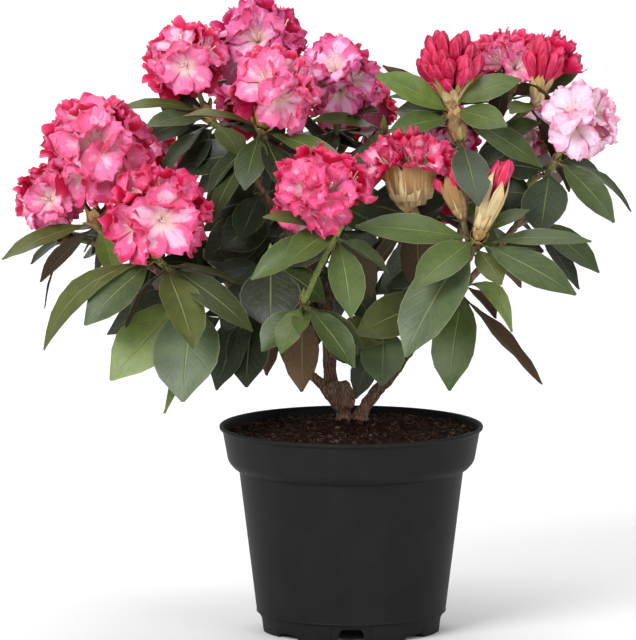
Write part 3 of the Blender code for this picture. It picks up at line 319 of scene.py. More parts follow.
# petals: pale middle, pink, deep rim, back, back towards the tube
PETAL_TINTS = {
    "pink": (
        (0.94, 0.53, 0.69), (0.86, 0.19, 0.38), (0.70, 0.07, 0.21), (0.70, 0.045, 0.16), (0.52, 0.006, 0.055),
    ),
    "mauve": (
        (0.90, 0.47, 0.67), (0.74, 0.16, 0.37), (0.55, 0.05, 0.19), (0.54, 0.03, 0.14), (0.40, 0.005, 0.065),
    ),
    "rose": (
        (0.92, 0.46, 0.62), (0.82, 0.13, 0.30), (0.66, 0.04, 0.15), (0.62, 0.014, 0.09), (0.50, 0.003, 0.038),
    ),
    "crimson": (
        (0.82, 0.28, 0.46), (0.68, 0.09, 0.26), (0.52, 0.022, 0.12), (0.54, 0.012, 0.085),
        (0.42, 0.003, 0.04),
    ),
    "pale": (
        (0.96, 0.76, 0.85), (0.93, 0.62, 0.76), (0.84, 0.36, 0.53), (0.86, 0.46, 0.62), (0.68, 0.20, 0.34),
    ),
}
# shoot: rings of scales (count, height, radius, length, tilt, width), those of negative height down its
# twig and the others round its truss, and their tints
SCALES = [
    ("M", [(7, -1, 7, 24, 2, 17), (8, 3, 12, 34, 1, 19), (10, 8, 17, 38, 0, 19), (9, 14, 18, 36, 0, 17)],
     (1, 1, 0, 5, 0)),
    ("I", [(6, -3, 4, 15, 4, 13), (6, 0, 7, 25, 15, 14), (7, 3, 8, 30, 19, 13)], (0, 0, 0, 1)),
    ("I", [(7, -36, 5, 13, 3, 10), (7, -30, 6, 13, 3, 10), (7, -24, 6, 13, 3, 10), (7, -18, 6, 13, 3, 9),
           (7, -11, 5, 13, 3, 9)], (2, 5, 6, 1, 5)),
    ("N", [(6, -3, 4, 18, 1, 12), (6, 3, 6, 32, 0, 14), (6, 12, 7, 42, -1, 13)], (0, 1, 0, 0)),
    ("N", [(7, -9, 5, 12, 3, 9), (7, -16, 5, 12, 3, 9)], (2, 1, 6, 5)),
    ("O", [(5, -2, 4, 16, 1, 11), (6, 2, 6, 28, 0, 13), (5, 7, 7, 32, -1, 12)], (1, 5, 0)),
    ("K", [(6, -2, 4, 16, 4, 11), (7, 2, 5, 24, 5, 11)], (0, 1, 0)),
    ("J", [(6, -2, 4, 14, 5, 9), (6, 2, 5, 20, 5, 8)], (1, 5)),
    ("A", [(6, -5, 4, 14, 4, 10), (6, 0, 5, 16, 5, 10)], (5, 2, 1)),
    ("B", [(6, -5, 4, 14, 5, 10), (6, 0, 5, 15, 6, 10)], (5, 2, 1)),
    ("C", [(6, 0, 4, 14, 4, 9)], (1, 5)),
    ("D", [(6, -6, 4, 15, 3, 9), (6, 0, 4, 14, 5, 9)], (5, 1, 2)),
    ("F", [(7, -3, 5, 16, 6, 11), (7, 1, 6, 17, 7, 10)], (5, 1, 4)),
]
SCALE_TINTS = [
    (0.720, 0.560, 0.290), (0.520, 0.340, 0.130), (0.240, 0.125, 0.050), (0.110, 0.060, 0.030),
    (0.420, 0.380, 0.150), (0.380, 0.210, 0.075), (0.160, 0.085, 0.038), (0.640, 0.360, 0.260),
]
CRUMB_TINTS = [
    (0.014, 0.0045, 0.0025), (0.024, 0.0085, 0.0048), (0.038, 0.014, 0.0075), (0.008, 0.003, 0.002),
    (0.060, 0.026, 0.015), (0.090, 0.045, 0.026), (0.130, 0.080, 0.052), (0.180, 0.125, 0.088),
]

# ---------------------------------------------------------------- studio
CAMERA_DISTANCE = 8.0
CAMERA_ELEVATION = 8.0
CAMERA_AIM = Vector((-0.029, 0, 0.272))
MM_PER_PIXEL = 0.871
HALF_PICTURE = 320
SENSOR_WIDTH = 36.0
FLOOR_HALF = 6000.0
FLOOR_LINES = 9
FLOOR_HEIGHT = -0.2
FLOOR_COLOUR = (0.82, 0.82, 0.82, 1.0)
SKY_STRENGTH = 0.40
LAMP_AIM = Vector((0, 0, 0.3))
# name, place, size, power
LAMPS = [
    ("key", (-1.9, -2.6, 2.3), (1.8, 1.8), 120.0),
    ("fill", (2.4, -2.6, 1.2), (2.0, 2.0), 45.0),
    ("crown", (0.2, 0.4, 3.2), (2.2, 2.2), 36.0),
    ("backdrop", (0.0, 4.0, 3.0), (6.0, 4.0), 160.0),
]


# ---------------------------------------------------------------- arrays
def unit(arrows):
    """Each arrow divided by its own length."""
    arrows = np.asarray(arrows, float)
    return arrows / np.maximum(np.linalg.norm(arrows, axis=-1, keepdims=True), 1e-9)


def smooth(low, high, value):
    """0 below low, 1 above high, and 3t^2 - 2t^3 between."""
    t = np.clip((np.asarray(value, float) - low) / (high - low), 0, 1)
    return t * t * (3 - 2 * t)


def cloud(points, size, seed):
    """Smooth random value from -1 to 1 at each point: random values on a lattice, blended by 3t^2 - 2t^3."""
    lattice = np.random.default_rng(seed).uniform(-1, 1, (24, 24, 24))
    place = np.asarray(points, float) / size
    cell = np.floor(place).astype(int)
    share = smooth(0, 1, place - cell)
    total = np.zeros(place.shape[:-1])
    for corner in np.ndindex(2, 2, 2):
        weight = np.prod(np.where(corner, share, 1 - share), axis=-1)
        total += weight * lattice[tuple(np.moveaxis((cell + corner) % 24, -1, 0))]
    return total


def quads_of(numbers):
    """Quads between neighbouring rows and columns of a grid of point numbers."""
    corners = [numbers[:-1, :-1], numbers[1:, :-1], numbers[1:, 1:], numbers[:-1, 1:]]
    return np.stack(corners, -1).reshape(-1, 4)


def chart_of(rows, columns):
    """Places of a grid's quads in one cell of the chart: columns give the first number, rows the second."""
    spots = np.stack(np.meshgrid(columns, rows), -1).reshape(-1, 2)
    return spots[quads_of(np.arange(len(rows) * len(columns)).reshape(len(rows), len(columns)))]


def cells_of(numbers):
    """Cell of the chart for each number, counted along its rows."""
    return np.stack([numbers % CHART_CELLS, numbers // CHART_CELLS], -1)


def halves(quads, rows, columns):
    """A grid's quads cut into triangles along the same diagonal, so that both faces of a thin shell bend
    alike.  The diagonal always runs into the corners of the grid, so that no triangle lies on the rim
    alone."""
    order = np.tile([0, 1, 2, 0, 2, 3], (len(quads), 1))
    order[[columns - 2, (rows - 2) * (columns - 1)]] = [0, 1, 3, 1, 2, 3]
    corners = quads[np.arange(len(quads))[:, None], order]
    return corners.reshape(-1, 3, *quads.shape[2:])


class Heap:
    """Shapes of one kind, joined into one mesh with one chart of 4 x 4 cells."""

    def __init__(self):
        self.points = []
        self.corners = []
        self.sizes = []
        self.spots = []
        self.total = 0

    def add(self, points, faces, local, cells):
        """points (k, n, 3) of k shapes that share faces (m, c); local (m, c, 2) in a cell; cells (k, 2)."""
        shapes, count = points.shape[:2]
        numbers = faces[None] + np.arange(shapes)[:, None, None] * count + self.total
        spots = np.asarray(cells, float)[:, None, None, :] + CELL_MARGIN + CELL_SPAN * local[None]
        self.corners.append(numbers.ravel())
        self.sizes.append(np.full(shapes * len(faces), faces.shape[1]))
        self.spots.append((spots / CHART_CELLS).reshape(-1, 2))

    def keep(self, points):
        """Takes in the points that the last faces share."""
        self.points.append(points.reshape(-1, 3))
        self.total += points.shape[0] * points.shape[1]

    def piece(self, name, paint, slot, nodes, facets=False):
        """The joined mesh as a piece that stands for these nodes."""
        points = np.concatenate(self.points) * MM
        corners = np.concatenate(self.corners).astype(np.int32)
        sizes = np.concatenate(self.sizes)
        mesh = bpy.data.meshes.new(name)
        mesh.vertices.add(len(points))
        mesh.vertices.foreach_set("co", points.astype(np.float32).ravel())
        mesh.loops.add(len(corners))
        mesh.loops.foreach_set("vertex_index", corners)
        mesh.polygons.add(len(sizes))
        mesh.polygons.foreach_set("loop_start", (np.cumsum(sizes) - sizes).astype(np.int32))
        mesh.polygons.foreach_set("use_smooth", np.full(len(sizes), not facets))
        mesh.update(calc_edges=True)
        mesh.set_sharp_from_angle(angle=math.radians(CREASE_ANGLE))
        chart = mesh.uv_layers.new(name="chart")
        chart.data.foreach_set("uv", np.concatenate(self.spots).astype(np.float32).ravel())
        finish_piece(name, mesh, paint, nodes)


def finish_piece(name, mesh, paint, nodes):
    """A piece that rides on the plant, takes its finish from the paint and stands for its nodes."""
    piece = bpy.data.objects.new(name, mesh)
    bpy.context.scene.collection.objects.link(piece)
    mesh.materials.append(paint)
    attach(piece, "root")
    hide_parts(*nodes)


def add_shells(heap, sheets, thickness, rows, columns, upper_cells, lower_cells):
    """Thin closed shells: an upper sheet (k, rows, columns, 3), and the same sheet lowered along its
    normal by the thickness everywhere but on the rim, which both share.  Rows run outward, columns towards
    the shell's left."""
    shapes, height, width = sheets.shape[:3]
    normal = unit(np.cross(np.gradient(sheets, axis=1), np.gradient(sheets, axis=2)))
    lower = (sheets - normal * thickness)[:, 1:-1, 1:-1]
    points = np.concatenate([sheets.reshape(shapes, -1, 3), lower.reshape(shapes, -1, 3)], axis=1)
    above = np.arange(height * width).reshape(height, width)
    below = above.copy()
    below[1:-1, 1:-1] = height * width + np.arange((height - 2) * (width - 2)).reshape(height - 2, width - 2)
    local = halves(chart_of(rows, columns), height, width)
    heap.add(points, halves(quads_of(above), height, width), local, upper_cells)
    heap.add(points, halves(quads_of(below), height, width)[:, ::-1], local[:, ::-1], lower_cells)
    heap.keep(points)


def add_tubes(heap, paths, radii, sides, cells, ends=(0.0, 0.0)):
    """Round tubes along paths (k, s, 3) with radii (k, s) or (k, s, sides), closed by a pole at each end
    that stands out by ends: ring = path + (side cos a + other sin a) radius, where side turns as little as
    it can."""
    shapes, stations = paths.shape[:2]
    ahead = unit(np.gradient(paths, axis=1))
    mean = unit(paths[:, -1] - paths[:, 0])
    helper = np.where(np.abs(mean[:, 2:3]) < 0.8, UP, RIGHT)
    side = np.zeros_like(paths)
    side[:, 0] = unit(np.cross(helper, ahead[:, 0]))
    for i in range(1, stations):
        flat = side[:, i - 1] - ahead[:, i] * np.sum(side[:, i - 1] * ahead[:, i], -1, keepdims=True)
        side[:, i] = unit(flat)
    other = np.cross(ahead, side)
    angle = math.tau * np.arange(sides) / sides
    spokes = side[:, :, None] * np.cos(angle)[:, None] + other[:, :, None] * np.sin(angle)[:, None]
    radii = radii[..., None] if radii.ndim == 2 else radii
    rings = paths[:, :, None] + spokes * radii[..., None]
    foot = paths[:, :1] - ahead[:, :1] * ends[0]
    tip = paths[:, -1:] + ahead[:, -1:] * ends[1]
    points = np.concatenate([rings.reshape(shapes, -1, 3), foot, tip], axis=1)
    numbers = np.arange(stations * sides).reshape(stations, sides)
    wrapped = np.concatenate([numbers, numbers[:, :1]], axis=1)
    rows = np.linspace(0, 1, stations)
    columns = np.linspace(0, 1, sides + 1)
    heap.add(points, quads_of(wrapped)[:, ::-1], chart_of(rows, columns)[:, ::-1], cells)
    poles = np.full(sides, stations * sides)
    foot_fan = np.stack([wrapped[0, :-1], wrapped[0, 1:], poles], -1)[:, ::-1]
    tip_fan = np.stack([wrapped[-1, 1:], wrapped[-1, :-1], poles + 1], -1)[:, ::-1]
    low = np.stack([columns[:-1], np.zeros(sides)], -1)
    high = np.stack([columns[1:], np.zeros(sides)], -1)
    fan = np.stack([low, high, (low + high) / 2], 1)
    heap.add(points, foot_fan, fan[:, ::-1], cells)
    heap.add(points, tip_fan, (fan * [1, 0] + [0, 1])[:, ::-1], cells)
    heap.keep(points)


def smooth_path(way_points, radii, stations):
    """Catmull-Rom curve through the way points, with radii blended along it: (n, 3) and (n,)."""
    radii = np.array(radii, float)
    knots = np.array(way_points, float)
    knots = np.concatenate([[knots[0] * 2 - knots[1]], knots, [knots[-1] * 2 - knots[-2]]])
    places = []
    widths = []
    t = (np.arange(stations) / stations)[:, None]
    for i in range(len(radii) - 1):
        a, b, c, d = knots[i : i + 4]
        bend = (a * 2 - b * 5 + c * 4 - d) * t**2 + (b * 3 - a - c * 3 + d) * t**3
        places.append((b * 2 + (c - a) * t + bend) / 2)
        widths.append(radii[i] + (radii[i + 1] - radii[i]) * t[:, 0])
    return np.concatenate([*places, knots[-2:-1]]), np.concatenate([*widths, radii[-1:]])


def frame_about(direction):
    """Two unit arrows square to a direction and to each other."""
    axis = unit(direction)
    helper = UP if abs(axis[2]) < 0.9 else RIGHT
    side = unit(np.cross(helper, axis))
    return side, np.cross(axis, side)


# ---------------------------------------------------------------- paints
class Value:
    """A socket of a material's tree, so that shader maths reads as an expression."""

    def __init__(self, tree, socket):
        self.tree = tree
        self.socket = socket

    def make(self, kind, settings, inputs, output=0):
        """Any node: its settings first, then a value or a link for each of its sockets."""
        node = self.tree.nodes.new(kind)
        for name, setting in settings.items():
            if name == "stops":
                set_stops(node.color_ramp, setting)
            else:
                setattr(node, name, setting)
        for name, value in inputs.items():
            if isinstance(value, Value):
                self.tree.links.new(value.socket, node.inputs[name])
            else:
                node.inputs[name].default_value = value
        return Value(self.tree, node.outputs[output])

    def math(self, operation, *values):
        return self.make("ShaderNodeMath", {"operation": operation}, dict(enumerate(values)))

    def __add__(self, other):
        return self.math("ADD", self, other)

    def __sub__(self, other):
        return self.math("SUBTRACT", self, other)

    def __rsub__(self, other):
        return self.math("SUBTRACT", other, self)

    def __mul__(self, other):
        return self.math("MULTIPLY", self, other)

    __radd__ = __add__
    __rmul__ = __mul__

    def __gt__(self, other):
        return self.math("GREATER_THAN", self, other)

    def floor(self):
        return self.math("FLOOR", self)

    def fract(self):
        return self.math("FRACT", self)

    def size(self):
        return self.math("ABSOLUTE", self)

    def most(self, other):
        return self.math("MAXIMUM", self, other)

    def limit(self, low, high):
        return self.math("MINIMUM", self.math("MAXIMUM", self, low), high)

    def step(self, low, high):
        """0 at low and 1 at high, eased between; low may be above high."""
        settings = {"interpolation_type": "SMOOTHSTEP"}
        return self.make("ShaderNodeMapRange", settings, {"Value": self, "From Min": low, "From Max": high})

    def stops(self, stops, interpolation="LINEAR"):
        """Colour ramp: stops are (place, colour)."""
        return self.make("ShaderNodeValToRGB", {"stops": (stops, interpolation)}, {"Fac": self})

    def dealt(self, colours):
        """One of some plain colours, for whole numbers 0, 1, 2..."""
        stops = [(i / len(colours), colour) for i, colour in enumerate(colours)]
        return ((self + 0.5) * (1 / len(colours))).stops(stops, "CONSTANT")

    def blend(self, first, second):
        """This share of the second colour over the first."""
        settings = {"data_type": "RGBA", "clamp_factor": True}
        return self.make("ShaderNodeMix", settings, {0: self, 6: colour_of(first), 7: colour_of(second)}, 2)


def colour_of(value):
    return value if isinstance(value, Value) else (*value, 1.0)


def set_stops(ramp, setting):
    stops, ramp.interpolation = setting
    while len(ramp.elements) < len(stops):
        ramp.elements.new(1.0)
    for element, (place, colour) in zip(ramp.elements, stops):
        element.position = place
        element.color = (*colour, 1.0)


class Paint:
    """One material: places on it to start from, and its finish."""

    def __init__(self, name):
        self.material = bpy.data.materials.new(name)
        self.material.use_nodes = True
        self.tree = self.material.node_tree
        self.shader = self.tree.nodes["Principled BSDF"]
        self.root = Value(self.tree, None)

    def place(self):
        """Position on the piece, in millimetres."""
        spot = self.root.make("ShaderNodeTexCoord", {}, {}, 3)
        return spot.make("ShaderNodeVectorMath", {"operation": "SCALE"}, {0: spot, "Scale": 1000.0})

    def parts(self, vector):
        split = vector.make("ShaderNodeSeparateXYZ", {}, {0: vector})
        return [Value(self.tree, output) for output in split.socket.node.outputs]

    def cells(self):
        """Column and row of the chart's cell, and the place across and along inside it."""
        spot = self.root.make("ShaderNodeUVMap", {"uv_map": "chart"}, {})
        u, v = self.parts(spot)[:2]
        u = u * CHART_CELLS
        v = v * CHART_CELLS
        across = ((u.fract() - CELL_MARGIN) * (1 / CELL_SPAN)).limit(0.0, 1.0)
        along = ((v.fract() - CELL_MARGIN) * (1 / CELL_SPAN)).limit(0.0, 1.0)
        return u.floor(), v.floor(), across, along

    def vector(self, x, y, z):
        return self.root.make("ShaderNodeCombineXYZ", {}, {0: x, 1: y, 2: z})

    def noise(self, vector, scale, detail=2.0, roughness=0.5, distortion=0.0):
        """Cloudy value from about 0.25 to 0.75."""
        inputs = {"Vector": vector, "Scale": scale, "Detail": detail, "Roughness": roughness}
        inputs["Distortion"] = distortion
        return self.root.make("ShaderNodeTexNoise", {}, inputs)

    def cracks(self, vector, scale, feature="DISTANCE_TO_EDGE"):
        inputs = {"Vector": vector, "Scale": scale}
        return self.root.make("ShaderNodeTexVoronoi", {"feature": feature}, inputs)

    def stretched(self, vector, x, y, z):
        return vector.make("ShaderNodeVectorMath", {"operation": "MULTIPLY"}, {0: vector, 1: (x, y, z)})

    def finish(self, colour, roughness, height=None, depth=0.0, strength=1.0, **constants):
        """Sets the shader; height, in 0 to 1, is worth depth in millimetres of relief."""
        for name, value in {"Base Color": colour, "Roughness": roughness}.items():
            if isinstance(value, Value):
                self.tree.links.new(value.socket, self.shader.inputs[name])
            else:
                self.shader.inputs[name].default_value = value
        for name, value in constants.items():
            self.shader.inputs[name.replace("_", " ")].default_value = value
        if height is not None:
            inputs = {"Height": height, "Distance": depth * MM, "Strength": strength}
            bump = self.root.make("ShaderNodeBump", {}, inputs)
            self.tree.links.new(bump.socket, self.shader.inputs["Normal"])
        return self.material


# ---------------------------------------------------------------- how a shoot grows
PATH_STEPS = 8
# kind of truss: how far its heart lies back from its centre, as a share of its radius
HEART_BACK = {"open": 0.12, "half": 0.75, "bud": 0.9}


def whorl_of(shoot):
    return np.array(SHOOTS[shoot]["whorl"], float)


def truss_axis(shoot):
    """Way from the whorl to the centre of the truss."""
    centre = SHOOTS[shoot]["truss"][1]
    return unit(np.array(centre) - whorl_of(shoot))


def truss_heart(shoot):
    """Point that the flowers of a truss spread from."""
    kind, centre, radius = SHOOTS[shoot]["truss"]
    return np.array(centre) - truss_axis(shoot) * (HEART_BACK[kind] * radius)


def twig_of(shoot):
    """Way points and radii of the twig that ends in this shoot's whorl."""
    plan = SHOOTS[shoot]
    return [*plan["twig"], plan["whorl"]], plan["girth"]


def twig_end(shoot):
    """Way that the twig runs in where it meets its whorl."""
    way_points = twig_of(shoot)[0]
    return unit(np.subtract(way_points[-1], way_points[-2]))


def below_whorl(shoot, distance):
    """Point on the twig's own line, this far below its whorl."""
    path = smooth_path(*twig_of(shoot), PATH_STEPS)[0][::-1]
    gone = np.concatenate([[0], np.cumsum(np.linalg.norm(np.diff(path, axis=0), axis=1))])
    return np.stack([np.interp(distance, gone, path[:, k]) for k in range(3)], -1)


# ---------------------------------------------------------------- leaves
LEAF_ROWS = np.array([0, 0.06, 0.13, 0.20, 0.30, 0.42, 0.55, 0.68, 0.80, 0.90, 0.965, 1.0])
LEAF_COLUMNS = np.array([-1, -0.55, 0, 0.55, 1.0])
PETIOLE_SHARE = 0.13
LEAF_THICKNESS = 1.0
PETIOLE_RADIUS = 1.25


def all_leaves():
    """Every leaf as rows of: root, tip, width, turn, tone, arch, cup, wave, phase."""
    roots, tips, facts = [], [], []
    dice = random.Random("looks")

    def grow(root, tip, width, turn, tone, arch=LEAF_ARCH):
        roots.append(root)
        tips.append(tip)
        cup, wave, phase = dice.uniform(-0.10, 0.16), dice.uniform(0.3, 1), dice.uniform(0, 1)
        facts.append((width, turn, tone, arch, cup, wave, phase))

    for shoot, plan in SHOOTS.items():
        leaves = plan.get("leaves", [])
        for i, (x, y, z, *form) in enumerate(leaves):
            grow(leaf_root(shoot, i), whorl_of(shoot) + (x, y, z), *form)
        for root, tip, width in fill_leaves(shoot, len(leaves)):
            grow(root, tip, width, 0, dice.choice(FILL_TONES))
    for limb, rows in INNER_LEAVES:
        path = smooth_path(*(LIMBS[limb] if limb in LIMBS else twig_of(limb)), PATH_STEPS)[0]
        for share, x, y, z, *form in rows:
            grow(path[round(share * (len(path) - 1))], (x, y, z), *form)
    return np.array(roots, float), np.array(tips, float), np.array(facts, float).T


def leaf_root(shoot, number):
    """Where the leaf of this number leaves its twig: one below another from the whorl down."""
    return below_whorl(shoot, 1.0 + LEAF_SPACING * number)


def fill_leaves(shoot, first):
    """Seeded leaves round the rest of a whorl, turned by the golden angle, as the solids have them."""
    count, middle, spread, *droops = SHOOTS[shoot].get("fill", (0, 0, 0))
    dice = random.Random(f"fill {shoot}")
    turn = dice.uniform(0, math.tau)
    for i in range(count):
        if spread >= 180:
            heading = turn + i * GOLDEN_ANGLE
        else:
            share = (i + 0.5) / count * 2 - 1
            heading = math.radians(middle + spread * share + dice.uniform(-8, 8))
        droop = math.radians(dice.uniform(*(droops or FILL_DROOP)))
        length = dice.uniform(*LEAF_LENGTH)
        out = np.array([math.cos(heading), math.sin(heading), 0])
        root = leaf_root(shoot, first + i)
        yield root, root + (out * math.cos(droop) - UP * math.sin(droop)) * length, length * FILL_WIDTH


def leaf_sheets(roots, tips, facts):
    """Upper faces of leathery leaves.  Centre line: quadratic Bezier from root to tip with its crest
    raised by the arch's share of the length.  Half width: a round petiole, then sin(pi u)^0.68, eased at
    the base and drawn out at the tip, u from the petiole's end to the tip.  The blade dips at the midrib,
    cups or rolls with the square of the distance from it, and its edges wave along the length."""
    width, turn, tone, arch, cup, wave, phase = (fact[:, None] for fact in facts)
    chord = tips - roots
    length = np.linalg.norm(chord, axis=1, keepdims=True)
    heading = unit(chord * [1, 1, 0])
    side = np.cross(UP, heading)
    along = chord / length
    top = unit(UP * np.sum(along * heading, -1, keepdims=True) - heading * along[:, 2:3])
    roll = np.radians(turn) * np.sum(side * FRONT, -1, keepdims=True)
    side, top = side * np.cos(roll) - top * np.sin(roll), top * np.cos(roll) + side * np.sin(roll)
    crest = (roots + tips) / 2 + top * (arch * length)
    t = LEAF_ROWS[None, :, None]
    centre = roots[:, None] * (1 - t) ** 2 + crest[:, None] * (2 * t * (1 - t)) + tips[:, None] * t**2
    u = np.clip((LEAF_ROWS - PETIOLE_SHARE) / (1 - PETIOLE_SHARE), 0, 1)
    share = np.sin(np.pi * np.clip(u, 1e-4, 0.993)) ** 0.68 * (1 - 0.4 * np.exp(-u / 0.10))
    share = share * (1 - 0.30 * smooth(0.72, 1.0, u))
    half = np.maximum(share[None] * width / 2, PETIOLE_RADIUS)[:, :, None]
    twist = (phase - 0.5)[:, :, None] * 0.7 * (t - 0.4)
    side = side[:, None] * np.cos(twist) + top[:, None] * np.sin(twist)
    ahead = unit(np.gradient(centre, axis=1))
    lift = np.cross(ahead, side)
    c = LEAF_COLUMNS[None, None, :]
    blade = smooth(0.1, 0.3, t)
    wavy = np.sin(math.tau * (t * 2.3 + phase[:, :, None] + 0.25 * np.sign(c))) * np.abs(c) ** 2 * 0.09
    rise = half * (cup[:, :, None] * c**2 + wave[:, :, None] * wavy + 0.14 * np.abs(c) ** 0.8) * blade
    stalk = (1 - blade) * half * (0.8 - 0.8 * c**2)
    height = rise + stalk
    beside = side[:, :, None] * (half * c)[..., None]
    return centre[:, :, None] + beside + lift[:, :, None] * height[..., None]


def build_leaves():
    heap = Heap()
    roots, tips, facts = all_leaves()
    sheets = leaf_sheets(roots, tips, facts)
    tone = facts[2].astype(int)
    upper = cells_of(tone + CHART_CELLS)
    lower = cells_of(tone % CHART_CELLS)
    t = LEAF_ROWS[None, :, None, None]
    thickness = LEAF_THICKNESS + 1.4 * (1 - smooth(0.05, 0.22, t))
    add_shells(heap, sheets, thickness, LEAF_ROWS, (LEAF_COLUMNS + 1) / 2, upper, lower)
    heap.piece("leaves", leaf_paint(), "foliage", FOLIAGE)


# ---------------------------------------------------------------- flowers
BUD_FOOT = 4.0
BUD_SIDES = 10
# degrees round each named flower where the dome has no other
NAMED_ROOM = 40
STAMENS = 6
PETAL_THICKNESS = 0.45
PETAL_ROWS = np.array([0, 0.22, 0.40, 0.54, 0.70, 0.86, 1.0])
PETAL_COLUMNS = np.linspace(-1, 1, 11)
PETALS = 5


def florets_of(shoot):
    """Direction of each floret of a truss: a dome by the golden angle, and the named flowers in place of
    the dome's flowers next to them."""
    count, spread, nod = SHOOTS[shoot]["flowers"][1:]
    axis = truss_axis(shoot)
    side, other = frame_about(axis)
    turn = random.Random(f"truss {shoot}").uniform(0, math.tau)
    i = np.arange(count)
    tilt = np.arccos(1 - (i + 0.5) / count * (1 - math.cos(math.radians(spread))))[:, None]
    angle = (turn + i * GOLDEN_ANGLE)[:, None]
    dome = axis * np.cos(tilt) + (side * np.cos(angle) + other * np.sin(angle)) * np.sin(tilt)
    jitter = np.random.default_rng(count).normal(0, 0.08, dome.shape)
    dome = unit(dome + jitter + FRONT * nod)
    facing = unit(np.array(FACING.get(shoot, np.zeros((0, 3))), float))
    clear = np.all(dome @ facing.T < math.cos(math.radians(NAMED_ROOM)), axis=1)
    return np.concatenate([facing, dome[clear]]), len(facing)


def sides_of(direction, axis):
    """For each floret: its upper side, towards the truss's axis, and its left."""
    upper = axis - direction * np.sum(axis * direction, -1, keepdims=True)
    weak = np.linalg.norm(upper, axis=-1, keepdims=True) < 0.15
    spare = FRONT - direction * np.sum(FRONT * direction, -1, keepdims=True)
    upper = unit(np.where(weak, spare, upper))
    return upper, np.cross(direction, upper)


def petal_sheets(heart, direction, upper, left, reach, width, flare, dice):
    """Inner faces of all petals: five lobes on a funnel.  Along a from base to lobe tip the radius grows
    from 0.05 to 1.1 of the flower's half width, so that the funnel opens ever faster, and the rim rolls
    back a little; each lobe is far wider than its fifth of the circle, laid over the next one at one edge
    and under it at the other, rounded at the tip, and ruffled by sine waves of two lengths that grow to
    the rim."""
    count = len(direction)
    a = PETAL_ROWS[None, None, :, None]
    b = PETAL_COLUMNS[None, None, None, :]
    lobe = np.arange(PETALS)[None, :, None, None]
    draw = dice.uniform(-1, 1, (10, count, PETALS, 1, 1))
    width = width[:, None, None, None]
    reach = reach[:, None, None, None]
    opened = flare[:, None, None, None] + 0.12 * draw[0]
    radius = width * (0.05 + 0.27 * smooth(0.0, 0.5, a) + 0.80 * opened * smooth(0.28, 1.02, a) ** 1.1)
    depth = reach * (0.34 + 0.68 * a - 0.19 * opened * smooth(0.50, 1.15, a) * a)
    sector = 0.66 * radius
    lobe_half = width * (0.58 + 0.05 * draw[1]) * (0.45 + 0.55 * opened) * np.sin(np.pi * 0.82 * a**1.2)
    half = sector + (np.maximum(lobe_half, 0.1 * width) - sector) * smooth(0.36, 0.62, a)
    rim = smooth(0.42, 1.0, a)
    round_lobe = 0.19 * np.minimum(radius, 0.4 * width) * b**2
    radial = radius - round_lobe - 0.17 * width * smooth(0.8, 1.0, a) * b**2
    ruffle = np.sin(math.pi * (1.5 + 0.4 * draw[2]) * b + math.pi * draw[3]) * np.abs(b) ** 0.7
    crimp = np.sin(math.pi * (2.7 * b + draw[4]) + 3 * a + draw[8])
    laid = 0.11 * b * smooth(0.2, 0.6, a)
    wave = width * (rim * (0.12 * ruffle + 0.055 * crimp + 0.07 * draw[5]) + laid)
    cupped = width * 0.13 * (b**2 - 0.35) * smooth(0.4, 0.8, a) * (0.8 + 0.5 * draw[6])
    height = depth + wave + cupped
    radial = radial + 0.05 * width * rim * np.sin(math.pi * (2.4 * b + 2 * draw[7]))
    angle = (math.tau * lobe / PETALS + 0.08 * draw[2])[..., None]
    up, side = (arrow[:, None, None, None] for arrow in (upper, left))
    spoke = up * np.cos(angle) + side * np.sin(angle)
    across = side * np.cos(angle) - up * np.sin(angle)
    sheet = heart + direction[:, None, None, None] * height[..., None]
    sheet = sheet + spoke * radial[..., None] + across * (half * b)[..., None]
    return sheet.reshape(count * PETALS, len(PETAL_ROWS), len(PETAL_COLUMNS), 3)


def seed_of(shoot):
    return sum(map(ord, shoot))


def add_truss(shoot, petals, stamens, stalks, first_reach=0.0, first=()):
    """One truss of open or half-open flowers, with stamens and stalks; or only the first ones among buds."""
    kind, centre, radius = SHOOTS[shoot]["truss"]
    dice = np.random.default_rng(seed_of(shoot) * 7 + 11)
    heart = truss_heart(shoot)
    axis = truss_axis(shoot)
    direction, named = florets_of(shoot)
    if first:
        direction = unit(first)
    upper, left = sides_of(direction, axis)
    count = len(direction)
    size = dice.uniform(0.90, 1.08, count)
    if kind == "open":
        reach = radius * 0.95 * size
        width = radius * 0.53 * size
        flare = dice.uniform(0.84, 1.10, count)
        width[:named] = radius * 0.58
        flare[:named] = 1.08
    else:
        reach = (first_reach or radius * 1.36) * size
        width = reach * 0.40
        flare = dice.uniform(0.15, 1.0, count) ** 0.8
    sheets = petal_sheets(heart, direction, upper, left, reach, width, flare, dice)
    tint = dice.integers(0, 4, count).repeat(PETALS)
    row = np.tile([3, 1, 2, 1, 2], count)
    across = (PETAL_COLUMNS + 1) / 2
    add_shells(petals, sheets, PETAL_THICKNESS, PETAL_ROWS, across, np.stack([tint, row], -1), cells_of(tint))
    add_stamens(stamens, heart, direction, upper, left, reach, dice)
    foot, bend, end = (heart + direction * (share * reach[:, None]) for share in (0.04, 0.2, 0.36))
    foot = foot - axis * 2
    bend = bend + axis * 1.5
    path = np.stack([foot, (foot + 2 * bend + end) / 4, end], 1)
    add_tubes(stalks, path, np.tile([1.1, 1.1, 2.3], (count, 1)), 5, np.ones((count, 2)))


